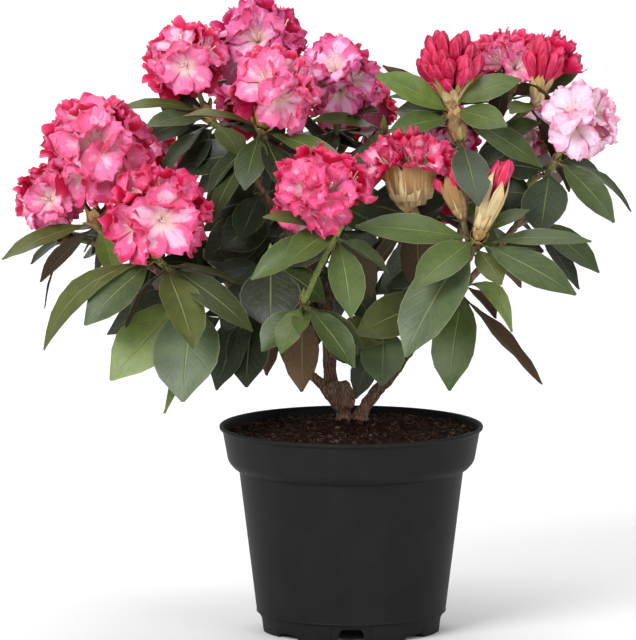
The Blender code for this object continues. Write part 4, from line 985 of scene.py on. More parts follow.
def add_stamens(heap, heart, direction, upper, left, reach, dice):
    """Thin filaments that spread in the lower half of the throat and curl up at their ends, each with a small
    anther, and one longer style: path = throat + direction s depth + (lean to one side) s^1.5 + upper s^3."""
    which = np.repeat(np.arange(len(direction)), STAMENS)
    style = np.arange(len(which)) % STAMENS == 0
    depth = (reach[which] * (dice.uniform(0.22, 0.38, len(which)) + 0.09 * style))[:, None, None]
    angle = dice.uniform(-2.2, 2.2, len(which)) + math.pi
    lean = dice.uniform(2.0, 6.5, len(which))[:, None, None]
    out = upper[which] * np.cos(angle)[:, None] + left[which] * np.sin(angle)[:, None]
    s = np.array([0, 0.35, 0.7, 1.0])[None, :, None]
    start = heart + direction[which] * (0.42 * reach[which])[:, None]
    path = start[:, None] + direction[which][:, None] * depth * s + out[:, None] * lean * s**1.5
    path = path + upper[which][:, None] * (s**3 * dice.uniform(2, 7, len(which))[:, None, None])
    radii = np.where(style, 0.50, 0.34)[:, None] * np.array([1.0, 0.9, 0.8, 0.8])
    cells = cells_of(style.astype(int))
    add_tubes(heap, path, radii, 3, cells)
    tip = unit(path[:, -1] - path[:, -2])
    ends = np.stack([path[:, -1] - tip * 0.3, path[:, -1] + tip * 0.6, path[:, -1] + tip * 1.5], 1)
    add_tubes(heap, ends, np.tile([0.5, 0.75, 0.4], (len(which), 1)), 4, cells + [0, 1])


def add_buds(shoot, buds, stalks):
    """Blunt red flower buds, each folded into five ridges that wind round it.  They fan out from the whorl
    and end on the ball of the truss: length = c cos(tilt) + sqrt(radius^2 - c^2 sin^2(tilt)), with c the
    height of its centre."""
    kind, centre, radius = SHOOTS[shoot]["truss"]
    dice = np.random.default_rng(seed_of(shoot) * 5 + 3)
    axis = truss_axis(shoot)
    foot = whorl_of(shoot) + axis * BUD_FOOT
    high = np.linalg.norm(np.array(centre) - foot)
    ball = radius * (0.5 if kind == "half" else 1.0)
    direction, named = florets_of(shoot)
    count = len(direction)
    tilt = np.arccos(np.clip(np.sum(direction * axis, -1), -1, 1))
    length = high * np.cos(tilt) + np.sqrt(np.maximum(ball**2 - (high * np.sin(tilt)) ** 2, 0))
    length = length * dice.uniform(0.93, 1.02, count)
    a = np.array([0, 0.16, 0.32, 0.48, 0.64, 0.78, 0.90, 1.0])
    along = 0.30 + 0.70 * a
    path = foot + direction[:, None] * (length[:, None] * along)[..., None]
    angle = math.tau * np.arange(BUD_SIDES) / BUD_SIDES
    fold = 1 + 0.22 * np.cos(5 * angle + 3.5 * a[:, None])
    fold = fold + dice.uniform(-0.12, 0.12, (count, len(a), BUD_SIDES))
    widest = dice.uniform(4.2, 5.4, count)[:, None, None]
    shape = np.array([0.24, 0.42, 0.62, 0.82, 0.98, 1.0, 0.78, 0.26])[None, :, None]
    tint = dice.integers(0, 4, count)
    add_tubes(buds, path, widest * shape * fold, BUD_SIDES, cells_of(tint), (0.5, 1.0))
    start = np.repeat((foot - axis * 1.5)[None], count, axis=0)
    stalk = np.stack([start, (start + path[:, 1]) / 2, path[:, 1]], 1)
    add_tubes(stalks, stalk, np.tile([1.2, 1.1, 1.1], (count, 1)), 5, np.ones((count, 2)))


# ---------------------------------------------------------------- bud scales
SCALE_ROWS = np.array([0, 0.2, 0.45, 0.7, 0.88, 1.0])
SCALE_COLUMNS = np.array([-1, -0.5, 0, 0.5, 1.0])
SCALE_THICKNESS = 0.8


def add_scales(heap, foot, axis, rings, tones, seed):
    """Overlapping pointed scales round an axis.  rings: (count, height of the foot, radius there, length,
    tilt out at the tip, width); each scale hugs a barrel that bulges like sin(pi a) and ends in a torn
    point."""
    dice = np.random.default_rng(seed)
    side, other = frame_about(axis)
    axis = unit(axis)
    a = SCALE_ROWS[None, :, None]
    b = SCALE_COLUMNS[None, None, :]
    for ring, (count, height, radius, length, tilt, width) in enumerate(rings):
        i = np.arange(count)
        angle = (math.tau * i / count + ring * GOLDEN_ANGLE + dice.normal(0, 0.12, count))[:, None, None]
        long = length * dice.uniform(0.85, 1.12, (count, 1, 1))
        out = radius + 0.10 * long * np.sin(np.pi * np.clip(a * 0.85, 0, 1)) + tilt * a**2 + 0.5 * ring
        out = out + dice.uniform(-0.8, 0.8, (count, 1, 1)) * a**2
        half = width / 2 * np.sin(np.pi * (0.18 + 0.78 * a)) ** 0.7 * (1 - 0.45 * smooth(0.7, 1, a))
        turn = half * b / np.maximum(out, 2.0)
        rise = height + long * a - 0.10 * width * b**2 * smooth(0.5, 1, a)
        rim = out + 0.12 * half * np.abs(b) ** 2
        spoke = side * np.cos(angle + turn)[..., None] + other * np.sin(angle + turn)[..., None]
        sheets = foot + axis * rise[..., None] + spoke * rim[..., None]
        cells = cells_of(dice.choice(tones, count))
        across = (SCALE_COLUMNS + 1) / 2
        add_shells(heap, sheets[:, :, ::-1], SCALE_THICKNESS, SCALE_ROWS, across, cells, cells)


def build_blossom():
    """Trusses of flowers and buds, the scales round them and at every whorl, and the leaf buds of bare
    whorls."""
    heaps = {name: Heap() for name in PETAL_TINTS}
    stamens, stalks, buds, scales = Heap(), Heap(), Heap(), Heap()
    for shoot, plan in SHOOTS.items():
        petals = plan.get("flowers", ("none",))[0]
        if petals in heaps:
            add_truss(shoot, heaps[petals], stamens, stalks)
        elif petals == "bud":
            add_buds(shoot, buds, stalks)
        if shoot in OPENING:
            petals, reach, ways = OPENING[shoot]
            add_truss(shoot, heaps[petals], stamens, stalks, reach, ways)
    for shoot, rings, tones in SCALES:
        for count, height, *rest in [ring for ring in rings if ring[1] < 0]:
            foot = below_whorl(shoot, -height)
            add_scales(scales, foot, twig_end(shoot), [(count, 0, *rest)], tones, seed_of(shoot) - height)
        upper = [ring for ring in rings if ring[1] >= 0]
        add_scales(scales, whorl_of(shoot), truss_axis(shoot), upper, tones, seed_of(shoot))
    for shoot, plan in SHOOTS.items():
        girth = plan["girth"][-1]
        rings = [(5, -7, girth * 0.9, 7, 1.5, 5), (5, -3, girth * 0.8, 8, 1.8, 5)]
        add_scales(scales, whorl_of(shoot), twig_end(shoot), rings, (2, 3, 6), seed_of(shoot) + 1)
        if "truss" not in plan:
            path = whorl_of(shoot) + UP * np.array([-1.0, 3.0, 8.0, 12.5])[:, None]
            add_tubes(buds, path[None], np.array([[2.4, 3.4, 2.4, 0.5]]), 8, [(0, 3)], (0.3, 0.6))
    for name, heap in heaps.items():
        heap.piece(f"petals_{name}", petal_paint(name), "foliage", FOLIAGE)
    stamens.piece("stamens", stamen_paint(), "foliage", FOLIAGE)
    stalks.piece("flower_stalks", stalk_paint(), "foliage", FOLIAGE)
    buds.piece("flower_buds", bud_paint(), "foliage", FOLIAGE)
    scales.piece("bud_scales", scale_paint(), "foliage", FOLIAGE)


# ---------------------------------------------------------------- twigs, stems and boughs
TWIG_STEPS = 9
TWIG_SIDES = 10
LIMB_STEPS = 10
LIMB_SIDES = 14
BARK_VOXEL = 0.80


def build_twigs():
    """Twigs of the crown, each a tapering tube with leaf scars, radius (1 + 0.16 noise + 0.10 sine),
    thicker at its whorl, and the stalk of each truss."""
    twigs, stalks = Heap(), Heap()
    angle = math.tau * np.arange(TWIG_SIDES) / TWIG_SIDES
    around = np.stack([np.cos(angle) * 3, np.sin(angle) * 3], -1)
    for shoot, plan in SHOOTS.items():
        path, width = smooth_path(*twig_of(shoot), TWIG_STEPS)
        grid = (len(path), TWIG_SIDES)
        spots = np.dstack([np.broadcast_to(around, (*grid, 2)), np.broadcast_to(path[:, 2:], grid)])
        scars = 1 + 0.16 * cloud(spots, 4.0, len(shoot) + 3) + 0.10 * np.sin(path[:, 2:] * 0.9)
        swell = 1 + 0.35 * smooth(0.75, 1.0, np.linspace(0, 1, len(path)))[:, None]
        column = 1 if shoot in GREEN_SHOOTS else 0
        radii = (width[:, None] * scars * swell)[None]
        add_tubes(twigs, path[None], radii, TWIG_SIDES, [(column, 0)], (0.5, 1.0))
        if "truss" in plan:
            foot = whorl_of(shoot) - truss_axis(shoot) * 2
            line = foot + (truss_heart(shoot) - foot) * np.linspace(0, 1, 4)[:, None]
            add_tubes(stalks, line[None], np.array([[2.6, 2.5, 2.4, 2.8]]), 7, [(0, 1)], (0, 1.0))
    twigs.piece("twigs", twig_paint(), "foliage", FOLIAGE)
    stalks.piece("truss_stalks", stalk_paint(), "foliage", FOLIAGE)


def build_limbs():
    """Stems and boughs: tubes that run into each other, fused by a fine voxel remesh and then given bark,
    as long lumps and fissures along the grain, a flare at the soil and a hollow knot on the left stem."""
    heap = Heap()
    for name, (way_points, radii) in [*LIMBS.items(), ("burl", BURL)]:
        path, width = smooth_path(way_points, radii, LIMB_STEPS)
        if name.startswith("trunk"):
            path = np.concatenate([path[:1] - UP * 4, path])
            width = np.concatenate([width[:1], width])
            width = width + 2.2 * np.exp(-(path[:, 2] - SOIL_CROWN_HEIGHT) / 5)
        add_tubes(heap, path[None], width[None], LIMB_SIDES, [(0, 0)], (0.0, 1.5))
    mesh = bpy.data.meshes.new("limb_tubes")
    points = np.concatenate(heap.points) * MM
    faces = [face for c, s in zip(heap.corners, heap.sizes) for face in c.reshape(-1, s[0]).tolist()]
    mesh.from_pydata(points.tolist(), [], faces)
    rough = bpy.data.objects.new("limb_tubes", mesh)
    bpy.context.scene.collection.objects.link(rough)
    fuse = rough.modifiers.new("fuse", "REMESH")
    fuse.mode = "VOXEL"
    fuse.voxel_size = BARK_VOXEL * MM
    fuse.use_smooth_shade = True
    graph = bpy.context.evaluated_depsgraph_get()
    fused = bpy.data.meshes.new_from_object(rough.evaluated_get(graph))
    bpy.data.objects.remove(rough)
    bpy.data.meshes.remove(mesh)
    places, normals = np.empty((2, len(fused.vertices) * 3))
    fused.vertices.foreach_get("co", places)
    fused.vertices.foreach_get("normal", normals)
    places = places.reshape(-1, 3) / MM
    normals = normals.reshape(-1, 3)
    low = 1 - smooth(225, 330, places[:, 2])
    strand = cloud(places * [1, 1, 0.22], 1.9, 5) * 0.55 + cloud(places * [1, 1, 0.4], 1.0, 6) * 0.25
    lumps = cloud(places, 8.0, 7) * 0.9
    relief = strand * (0.35 + 0.65 * low) + lumps * (0.2 + 0.8 * low)
    away = np.linalg.norm(places - KNOT, axis=1)
    relief = relief - 2.6 * np.exp(-((away / 3.4) ** 2)) + 1.3 * np.exp(-(((away - 6.0) / 2.0) ** 2))
    places = places + normals * relief[:, None]
    places[:, 2] = np.maximum(places[:, 2], SOIL_CROWN_HEIGHT - 2.0)
    fused.vertices.foreach_set("co", (places * MM).astype(np.float32).ravel())
    fused.update()
    fused.materials.clear()
    finish_piece("stems", fused, bark_paint(), list(LIMBS))


# ---------------------------------------------------------------- pot and soil
def rounded(profile):
    """Each corner (radius, height, fillet) of a profile replaced by a quadratic Bezier of that fillet."""
    points = np.array([corner[:2] for corner in profile], float)
    line = [points[:1]]
    t = np.array([0, 0.25, 0.5, 0.75, 1.0])[:, None]
    for i in range(1, len(profile) - 1):
        fillet = profile[i][2]
        if fillet == 0:
            line.append(points[i : i + 1])
            continue
        back = points[i] + unit(points[i - 1] - points[i]) * fillet
        on = points[i] + unit(points[i + 1] - points[i]) * fillet
        line.append(back * (1 - t) ** 2 + points[i] * (2 * t * (1 - t)) + on * t**2)
    return np.concatenate([*line, points[-1:]])


def add_lathe(heap, radius, height, angle):
    """Grid of rings, radius and height (rows, columns), with a pole below the first row and above the
    last."""
    rows, columns = radius.shape
    ring = np.stack([radius * np.cos(angle), radius * np.sin(angle), height], -1).reshape(1, -1, 3)
    poles = np.array([[[0, 0, height[0, 0]], [0, 0, height[-1, 0]]]], float)
    points = np.concatenate([ring, poles], 1)
    numbers = np.arange(rows * columns).reshape(rows, columns)
    wrapped = np.concatenate([numbers, numbers[:, :1]], axis=1)
    spots = chart_of(np.linspace(0, 1, rows), np.linspace(0, 1, columns + 1))
    cells = np.zeros((1, 2))
    heap.add(points, quads_of(wrapped)[:, ::-1], spots[:, ::-1], cells)
    pole = np.full(columns, rows * columns)
    centre = np.zeros((columns, 3, 2))
    heap.add(points, np.stack([wrapped[0, 1:], wrapped[0, :-1], pole], -1), centre, cells)
    heap.add(points, np.stack([wrapped[-1, :-1], wrapped[-1, 1:], pole + 1], -1), centre, cells)
    heap.keep(points)


def build_pot():
    """Lathe-turned shell with a rolled lip, band, tapering body and notched foot.  At each drain notch the
    foot's lower edge is lifted to the notch's roof, and round every second one, the tall ones, its outer
    wall steps back."""
    top = POT_HEIGHT
    band = top - BAND_HEIGHT
    foot_inside = FOOT_RADIUS - FOOT_WALL
    ledge = FOOT_STEP_HEIGHT
    floor = DRAIN_ROOF + 2.5
    line = rounded([
        (3, 0, 0), (PAD_RADIUS, 0, 1), (PAD_RADIUS + 2, DRAIN_ROOF, 1), (foot_inside, DRAIN_ROOF, 1),
        (foot_inside, 0, 0.6), (FOOT_RADIUS, 0, 0.8), (FOOT_RADIUS + 1.4, 10.5, 0.3),
        (FOOT_RADIUS + 2.0, ledge, 0.4), (BODY_FOOT_RADIUS - 0.6, ledge + 0.8, 0.3),
        (BODY_FOOT_RADIUS + 0.5, ledge + 1.5, 0.3), (BODY_FOOT_RADIUS + 0.1, ledge + 2.4, 0.3),
        (BODY_TOP_RADIUS, band - 2.0, 1.2),
        (BAND_FOOT_RADIUS - 5.5, band - 0.5, 1.5), (BAND_FOOT_RADIUS, band + 5.5, 3.4),
        (RIM_RADIUS - LIP_ROLL - 1.2, top - 4.2, 0.8), (RIM_RADIUS, top - 3.2, 0.9),
        (RIM_RADIUS + 0.1, top - 0.4, 1.1), (RIM_RADIUS - 2.4, top, 1.0), (RIM_RADIUS - 4.0, top - 2.2, 1.2),
        (BAND_FOOT_RADIUS - WALL, band + 7, 3.0), (BODY_TOP_RADIUS - WALL, band - 1, 1.2),
        (BODY_FOOT_RADIUS - WALL, floor, 3), (3, floor, 0),
    ])
    fine = [line[:1]]
    for first, second in zip(line[:-1], line[1:]):
        steps = max(1, int(np.linalg.norm(second - first) / POT_FACE))
        fine.append(first + (second - first) * (np.arange(1, steps + 1) / steps)[:, None])
    line = np.concatenate(fine)
    edges = []
    for k in range(DRAIN_NOTCHES):
        middle = math.tau * (k - 2) / DRAIN_NOTCHES
        side = [*np.linspace(0, NOTCH_HALF, 4), *np.linspace(NOTCH_HALF, NOTCH_FOOT_HALF, 8), RECESS_HALF]
        for beside in [*side, RECESS_HALF + 0.25]:
            edges.extend([middle - beside / FOOT_RADIUS, middle + beside / FOOT_RADIUS])
    edges.extend(np.linspace(-math.pi, math.pi, POT_SIDES, endpoint=False))
    angle = np.unique(np.round((np.array(edges) + math.pi) % math.tau - math.pi, 5))
    angle = angle[np.concatenate([[True], np.diff(angle) > 0.0015])]
    half_pitch = math.pi / DRAIN_NOTCHES
    near = np.abs((angle + half_pitch) % (2 * half_pitch) - half_pitch) * FOOT_RADIUS
    radius = np.repeat(line[:, :1], len(angle), axis=1)
    height = np.repeat(line[:, 1:], len(angle), axis=1)
    ring = (radius > foot_inside - 2) & (radius < FOOT_RADIUS + 2.0) & (height < DRAIN_ROOF - 0.2)
    share = np.clip((near - NOTCH_HALF) / (NOTCH_FOOT_HALF - NOTCH_HALF), 0, 1)
    tall = np.abs(np.sin(2 * angle)) < 0.5
    arch = np.where(tall, DRAIN_ROOF - 0.6, SHALLOW_ROOF) * np.sqrt(1 - share**2)
    height = np.where(ring & (near < NOTCH_FOOT_HALF), np.maximum(height, arch + 0.03 * height), height)
    recess = ring & (near < RECESS_HALF + 0.1) & tall & (radius > FOOT_RADIUS - 1)
    radius = np.where(recess, radius - 1.3, radius)
    heap = Heap()
    add_lathe(heap, radius, height, angle)
    heap.piece("nursery_pot", pot_paint(), "pot", ["pot"])


def soil_height(x, y):
    """Height of the peat: low at the wall, rising to a crown round the stems, mounded at the back right,
    and rough."""
    reach = np.hypot(x, y)
    crown = np.exp(-((x / 46) ** 2) - ((y - 22) / 40) ** 2)
    mound = np.exp(-(((x - 42) / 30) ** 2) - ((y - 38) / 34) ** 2)
    base = SOIL_EDGE_HEIGHT + 4.0 * smooth(108, 60, reach) + 5.6 * crown + 2.4 * mound
    base = base + 2.0 * smooth(20, 100, x)
    spots = np.stack([x, y, x * 0], -1)
    rough = cloud(spots, 9.0, 21) * 1.3 + cloud(spots, 4.0, 22) * 1.2 + cloud(spots, 1.9, 23) * 0.9
    return base + rough * smooth(112, 100, reach)


def build_soil():
    """Peat: a plug that fills the pot under a rough top, with loose crumbs and fibres strewn on it."""
    band = POT_HEIGHT - BAND_HEIGHT
    slack = WALL + 0.6
    lean = (RIM_RADIUS - LIP_ROLL - BAND_FOOT_RADIUS) / (BAND_HEIGHT - 7)
    edge = BAND_FOOT_RADIUS - slack + lean * (SOIL_EDGE_HEIGHT - band - 6)
    angle = math.tau * np.arange(SOIL_SIDES) / SOIL_SIDES
    floor = DRAIN_ROOF + 3
    sides = [(3, floor), (BODY_FOOT_RADIUS - slack, floor), (BODY_TOP_RADIUS - slack, band - 2)]
    sides += [(BAND_FOOT_RADIUS - slack - 0.5, band + 7), (edge, SOIL_EDGE_HEIGHT - 3)]
    side_radius = np.repeat(np.array(sides)[:, :1], SOIL_SIDES, axis=1)
    side_height = np.repeat(np.array(sides)[:, 1:], SOIL_SIDES, axis=1)
    top_radius = np.repeat(np.linspace(edge, 1.6, SOIL_RINGS)[:, None], SOIL_SIDES, axis=1)
    top_height = soil_height(top_radius * np.cos(angle), top_radius * np.sin(angle))
    heap = Heap()
    radius = np.concatenate([side_radius, top_radius])
    height = np.concatenate([side_height, top_height])
    add_lathe(heap, radius, height, angle)
    heap.piece("peat", peat_paint(), "soil", ["soil"])

    dice = np.random.default_rng(31)
    crumbs = Heap()
    x, y = strewn(dice, CRUMBS, edge, 0.985)
    size = np.minimum(0.7 + dice.exponential(0.62, CRUMBS), 3.6)
    middle = np.stack([x, y, soil_height(x, y) + size * 0.25], -1)
    corners, faces = ball_of_twenty()
    lumps = corners * size[:, None, None] * dice.uniform(0.62, 1.2, (CRUMBS, 12, 1))
    lumps = lumps * dice.uniform(0.6, 1.2, (CRUMBS, 1, 3))
    tone = dice.choice(8, CRUMBS, p=CRUMB_SHARES)
    points = middle[:, None] + lumps
    crumbs.add(points, faces, np.full((20, 3, 2), 0.5), cells_of(tone))
    crumbs.keep(points)
    x, y = strewn(dice, FIBRES, edge, 0.95)
    heading = dice.uniform(0, math.tau, FIBRES)
    out = np.stack([np.cos(heading), np.sin(heading), dice.uniform(-0.2, 0.6, FIBRES)], -1)
    s = np.linspace(-1, 1, 4)[None, :, None]
    long = dice.uniform(1.5, 5.0, FIBRES)[:, None, None]
    middle = np.stack([x, y, soil_height(x, y) + 1.2], -1)
    path = middle[:, None] + out[:, None] * long * s + np.cross(out, UP)[:, None] * long * 0.3 * s**2
    cells = cells_of(dice.integers(4, 8, FIBRES))
    add_tubes(crumbs, path, np.tile([0.12, 0.26, 0.26, 0.12], (FIBRES, 1)), 3, cells)
    crumbs.piece("peat_crumbs", crumb_paint(), "soil", ["soil"], facets=True)


def strewn(dice, count, edge, share):
    """Places spread evenly over this share of the area inside the edge."""
    reach = edge * np.sqrt(dice.uniform(0, share, count))
    turn = dice.uniform(0, math.tau, count)
    return reach * np.cos(turn), reach * np.sin(turn)


def ball_of_twenty():
    """Corners and outward faces of an icosahedron of radius 1."""
    long = (1 + 5**0.5) / 2
    corners = [(-1, long, 0), (1, long, 0), (-1, -long, 0), (1, -long, 0), (0, -1, long), (0, 1, long)]
    corners += [(0, -1, -long), (0, 1, -long), (long, 0, -1), (long, 0, 1), (-long, 0, -1), (-long, 0, 1)]
    corners = unit(np.array(corners))
    near = np.linalg.norm(corners[:, None] - corners[None], axis=-1) < 1.1
    faces = []
    for i in range(12):
        for j in range(i + 1, 12):
            for k in range(j + 1, 12):
                if near[i, j] and near[j, k] and near[i, k]:
                    normal = np.cross(corners[j] - corners[i], corners[k] - corners[i])
                    outward = np.dot(normal, corners[i]) > 0
                    faces.append((i, j, k) if outward else (i, k, j))
    return corners, np.array(faces)


# ---------------------------------------------------------------- the paints of this plant
def leaf_paint():
    """Leathery leaf: green above with a thin pale midrib, faint arched side veins and a pale edge; felted
    brown below, green again where the blade rolls over its edge."""
    paint = Paint("leathery_leaf")
    column, row, across, along = paint.cells()
    tone = column + (row - 1) * 4
    spot = paint.vector(across * 0.35, along, tone * 3.7)
    side = (across - 0.5).size() * 2
    mottle = paint.noise(spot, 6.0, 3.0, 0.6, 0.4)
    fine = paint.noise(spot, 42.0, 3.0, 0.6)
    rib = side.step(0.055, 0.012) * along.step(1.02, 0.6)
    arch = (along * 10.0 - side * 2.6 + mottle * 0.5).fract()
    vein = (arch - 0.5).size().step(0.14, 0.02) * side.step(0.03, 0.2) * side.step(0.95, 0.65)
    edge = side.step(0.94, 0.99)
    # tone 9 is near black: painted shade for leaves deep in the crown
    green = tone.dealt(LEAF_GREENS)
    upper = (mottle.step(0.32, 0.70) * 0.62).blend(green, tone.dealt(LEAF_LIGHTS))
    upper = (fine.step(0.35, 0.75) * 0.20).blend(upper, (0.120, 0.150, 0.050))
    upper = (vein * 0.10).blend(upper, (0.140, 0.180, 0.060))
    upper = (edge * 0.45).blend(upper, (0.270, 0.270, 0.130))
    upper = (rib * 0.60).blend(upper, (0.230, 0.280, 0.110))
    upper = along.step(0.15, 0.08).blend(upper, (0.180, 0.160, 0.055))
    felt = column.dealt([
        (0.066, 0.036, 0.014), (0.050, 0.032, 0.014), (0.092, 0.048, 0.018), (0.044, 0.040, 0.015),
    ])
    under = (fine.step(0.3, 0.7) * 0.35).blend(felt, (0.030, 0.020, 0.010))
    under = (rib * 0.8).blend(under, (0.200, 0.160, 0.060))
    under = (vein * 0.25).blend(under, (0.130, 0.090, 0.036))
    under = (edge * 0.8).blend(under, tone.dealt(LEAF_GREENS))
    colour = (row > 0.5).blend(under, upper)
    rough = 0.68 - (row > 0.5) * 0.34 + mottle * 0.12 + fine * 0.06
    relief = mottle * 0.3 + fine * 0.14 - vein * 0.10 - rib * 0.8
    return paint.finish(colour, rough, relief, 0.8, 0.8, IOR=1.45, Specular_IOR_Level=0.50)


def petal_paint(name):
    """Ruffled petal: pale in the throat and down the middle of some lobes, mottled pink, deep at the
    crimped rim, fine veins, dark flecks on the upper lobe, and saturated on its back, above all towards
    the tube."""
    pale, mid, deep, back, back_deep = PETAL_TINTS[name]
    paint = Paint(f"petal_{name}")
    column, row, across, along = paint.cells()
    spot = paint.vector(across, along, column * 5.3 + row * 9.1)
    side = (across - 0.5).size() * 2
    drift = paint.noise(spot, 3.6, 4.0, 0.6, 0.6)
    vein = paint.noise(paint.stretched(spot, 22.0, 2.6, 1.0), 1.0, 3.0, 0.5, 0.4)
    rim = side.step(0.12, 1.0) * 0.62 + along.step(0.62, 1.0) * 0.62 + (drift - 0.5) * 2.2 + 0.20
    rim = (rim * along.step(0.16, 0.60) + (column - 1.5) * 0.13).limit(0.0, 1.0)
    inner = rim.stops([(0.0, pale), (0.38, mid), (0.72, mid), (1.0, deep)])
    inner = ((vein - 0.48) * 1.1).limit(0.0, 0.30).blend(inner, deep)
    edge = side.step(0.86, 1.0).most(along.step(0.93, 1.0))
    inner = (edge * 0.6).blend(inner, deep)
    inner = (along.step(0.55, 0.25) * 0.75).blend(inner, (0.92, 0.66, 0.58))
    dots = paint.cracks(paint.stretched(spot, 1.0, 2.0, 1.0), 15.0, "F1")
    fleck = dots.step(0.30, 0.20) * (row > 2.5) * along.step(0.34, 0.42)
    fleck = fleck * along.step(0.72, 0.60) * side.step(0.62, 0.5)
    inner = (fleck * 0.8).blend(inner, (0.26, 0.012, 0.05))
    outer = (along.step(0.40, 0.95) + (drift - 0.5) * 1.4).limit(0.0, 1.0).blend(back_deep, back)
    outer = ((vein - 0.5) * 1.5).limit(0.0, 0.5).blend(outer, back_deep)
    outer = (along.step(0.75, 1.0) * 0.35).blend(outer, mid)
    colour = (row > 0.5).blend(outer, inner)
    relief = vein * 0.7 + drift * 0.5
    return paint.finish(colour, 0.55, relief, 0.4, 0.6, Specular_IOR_Level=0.22, IOR=1.4,
                        Subsurface_Weight=0.30, Subsurface_Scale=0.004)


def bud_paint():
    """Folded buds: crimson with painted highlight along the ridges of the folds and random lighter patches,
    and in the top row of cells the green buds of next year's leaves."""
    paint = Paint("flower_bud")
    column, row, across, along = paint.cells()
    spot = paint.vector(across, along, column * 4.1)
    ridge = ((across * 5 + along * 0.8).fract() - 0.5).size().step(0.30, 0.5)
    drift = paint.noise(spot, 4.0, 2.0)
    red = column.dealt([
        (0.56, 0.014, 0.070), (0.46, 0.007, 0.045), (0.64, 0.028, 0.105), (0.40, 0.005, 0.045),
    ])
    # painted highlight: lighter crimson along the ridges of the folds, mixed with random lighter patches
    red = (ridge * 0.5 + (drift - 0.45) * 1.2).limit(0.0, 0.75).blend(red, (0.84, 0.105, 0.24))
    red = along.step(0.24, 0.02).blend(red, (0.50, 0.14, 0.12))
    green = (drift.step(0.3, 0.7)).blend((0.19, 0.22, 0.050), (0.30, 0.30, 0.10))
    colour = (row > 1.5).blend(red, green)
    return paint.finish(colour, 0.48, ridge, 0.4, 0.6, Specular_IOR_Level=0.3)


def stamen_paint():
    """White filaments and a pink style in the lower cells; tan anthers in the upper ones."""
    paint = Paint("stamen")
    column, row, across, along = paint.cells()
    stalk = column.dealt([(0.90, 0.72, 0.76), (0.86, 0.50, 0.58)])
    stalk = along.step(0.2, 0.8).blend(stalk, (0.96, 0.90, 0.88))
    tip = column.dealt([(0.80, 0.62, 0.48), (0.86, 0.80, 0.60)])
    return paint.finish((row > 0.5).blend(stalk, tip), 0.5)


def stalk_paint():
    """Soft young stalks, green flushed with red-brown along one side."""
    paint = Paint("flower_stalk")
    column, row, across, along = paint.cells()
    drift = paint.noise(paint.vector(across, along * 2, column), 4.0, 2.0)
    colour = (drift.step(0.4, 0.65) * 0.6).blend((0.20, 0.24, 0.06), (0.28, 0.11, 0.06))
    return paint.finish(colour, 0.5)


def twig_paint():
    """Twig: grey-brown bark that turns green towards its whorl; green all along in the second column."""
    paint = Paint("twig_bark")
    column, row, across, along = paint.cells()
    place = paint.place()
    drift = paint.noise(place, 0.12, 3.0)
    grain = paint.noise(paint.stretched(place, 1.0, 1.0, 0.35), 0.9, 3.0)
    bark = grain.stops([
        (0.30, (0.040, 0.026, 0.016)), (0.52, (0.130, 0.085, 0.045)), (0.72, (0.240, 0.160, 0.085)),
    ])
    young = grain.stops([(0.30, (0.120, 0.170, 0.028)), (0.70, (0.270, 0.330, 0.085))])
    share = (along.step(0.45, 1.0) * 0.65 + (drift - 0.5) + column).limit(0.0, 1.0)
    return paint.finish(share.blend(bark, young), 0.68, grain, 1.0, 0.9)


def scale_paint():
    """Papery bud scales: cream to brown by cell, streaked along, darker and torn at the tip, dusky at the
    foot."""
    paint = Paint("bud_scale")
    column, row, across, along = paint.cells()
    spot = paint.vector(across * 1.4, along, column * 3.3 + row * 7.7)
    tone = (column + row * 4).dealt(SCALE_TINTS)
    streak = paint.noise(paint.stretched(spot, 9.0, 1.6, 1.0), 1.0, 3.0)
    patch = paint.noise(spot, 3.0, 2.0)
    colour = (streak.step(0.42, 0.70) * 0.55).blend(tone, (0.200, 0.100, 0.035))
    colour = (patch.step(0.54, 0.70) * 0.35).blend(colour, (0.300, 0.280, 0.090))
    colour = (along.step(0.86, 1.0) * 0.45).blend(colour, (0.170, 0.080, 0.028))
    colour = (along.step(0.30, 0.0) * 0.45).blend(colour, (0.110, 0.060, 0.026))
    return paint.finish(colour, 0.62, streak, 0.5, 0.8)


def bark_paint():
    """Old bark: red-brown, flaking in long strips, greyer on the lumps and dark in the fissures."""
    paint = Paint("old_bark")
    place = paint.place()
    long = paint.stretched(place, 1.0, 1.0, 0.22)
    grain = paint.noise(long, 0.75, 5.0, 0.62)
    plate = paint.cracks(paint.stretched(place, 1.0, 1.0, 0.16), 0.30)
    drift = paint.noise(place, 0.055, 3.0)
    colour = grain.stops([
        (0.28, (0.028, 0.014, 0.009)), (0.44, (0.125, 0.058, 0.034)), (0.58, (0.270, 0.140, 0.084)),
        (0.76, (0.460, 0.300, 0.200)),
    ])
    colour = (drift.step(0.45, 0.65) * 0.4).blend(colour, (0.230, 0.170, 0.120))
    colour = (plate.step(0.10, 0.01) * 0.7).blend(colour, (0.022, 0.011, 0.007))
    relief = grain * 0.7 + plate.limit(0.0, 0.3) * 1.2
    return paint.finish(colour, 0.82 - grain * 0.15, relief, 1.4, 1.0)


def pot_paint():
    """Moulded black plastic: satin, faintly brushed downwards, a little dusty and scuffed."""
    paint = Paint("black_plastic")
    place = paint.place()
    drift = paint.noise(place, 0.035, 3.0)
    drawn = paint.noise(paint.stretched(place, 1.0, 1.0, 0.05), 0.35, 2.0)
    dust = paint.noise(place, 0.5, 3.0)
    colour = (drift.step(0.35, 0.70) * 0.5).blend((0.0125, 0.0125, 0.0128), (0.0175, 0.0175, 0.0175))
    colour = (dust.step(0.62, 0.78) * 0.20).blend(colour, (0.036, 0.035, 0.033))
    rough = 0.42 + drift * 0.08 + dust * 0.08
    relief = drawn * 0.6 + paint.noise(place, 2.2, 2.0) * 0.4
    return paint.finish(colour, rough, relief, 0.18, 0.5, IOR=1.5, Specular_IOR_Level=0.07)


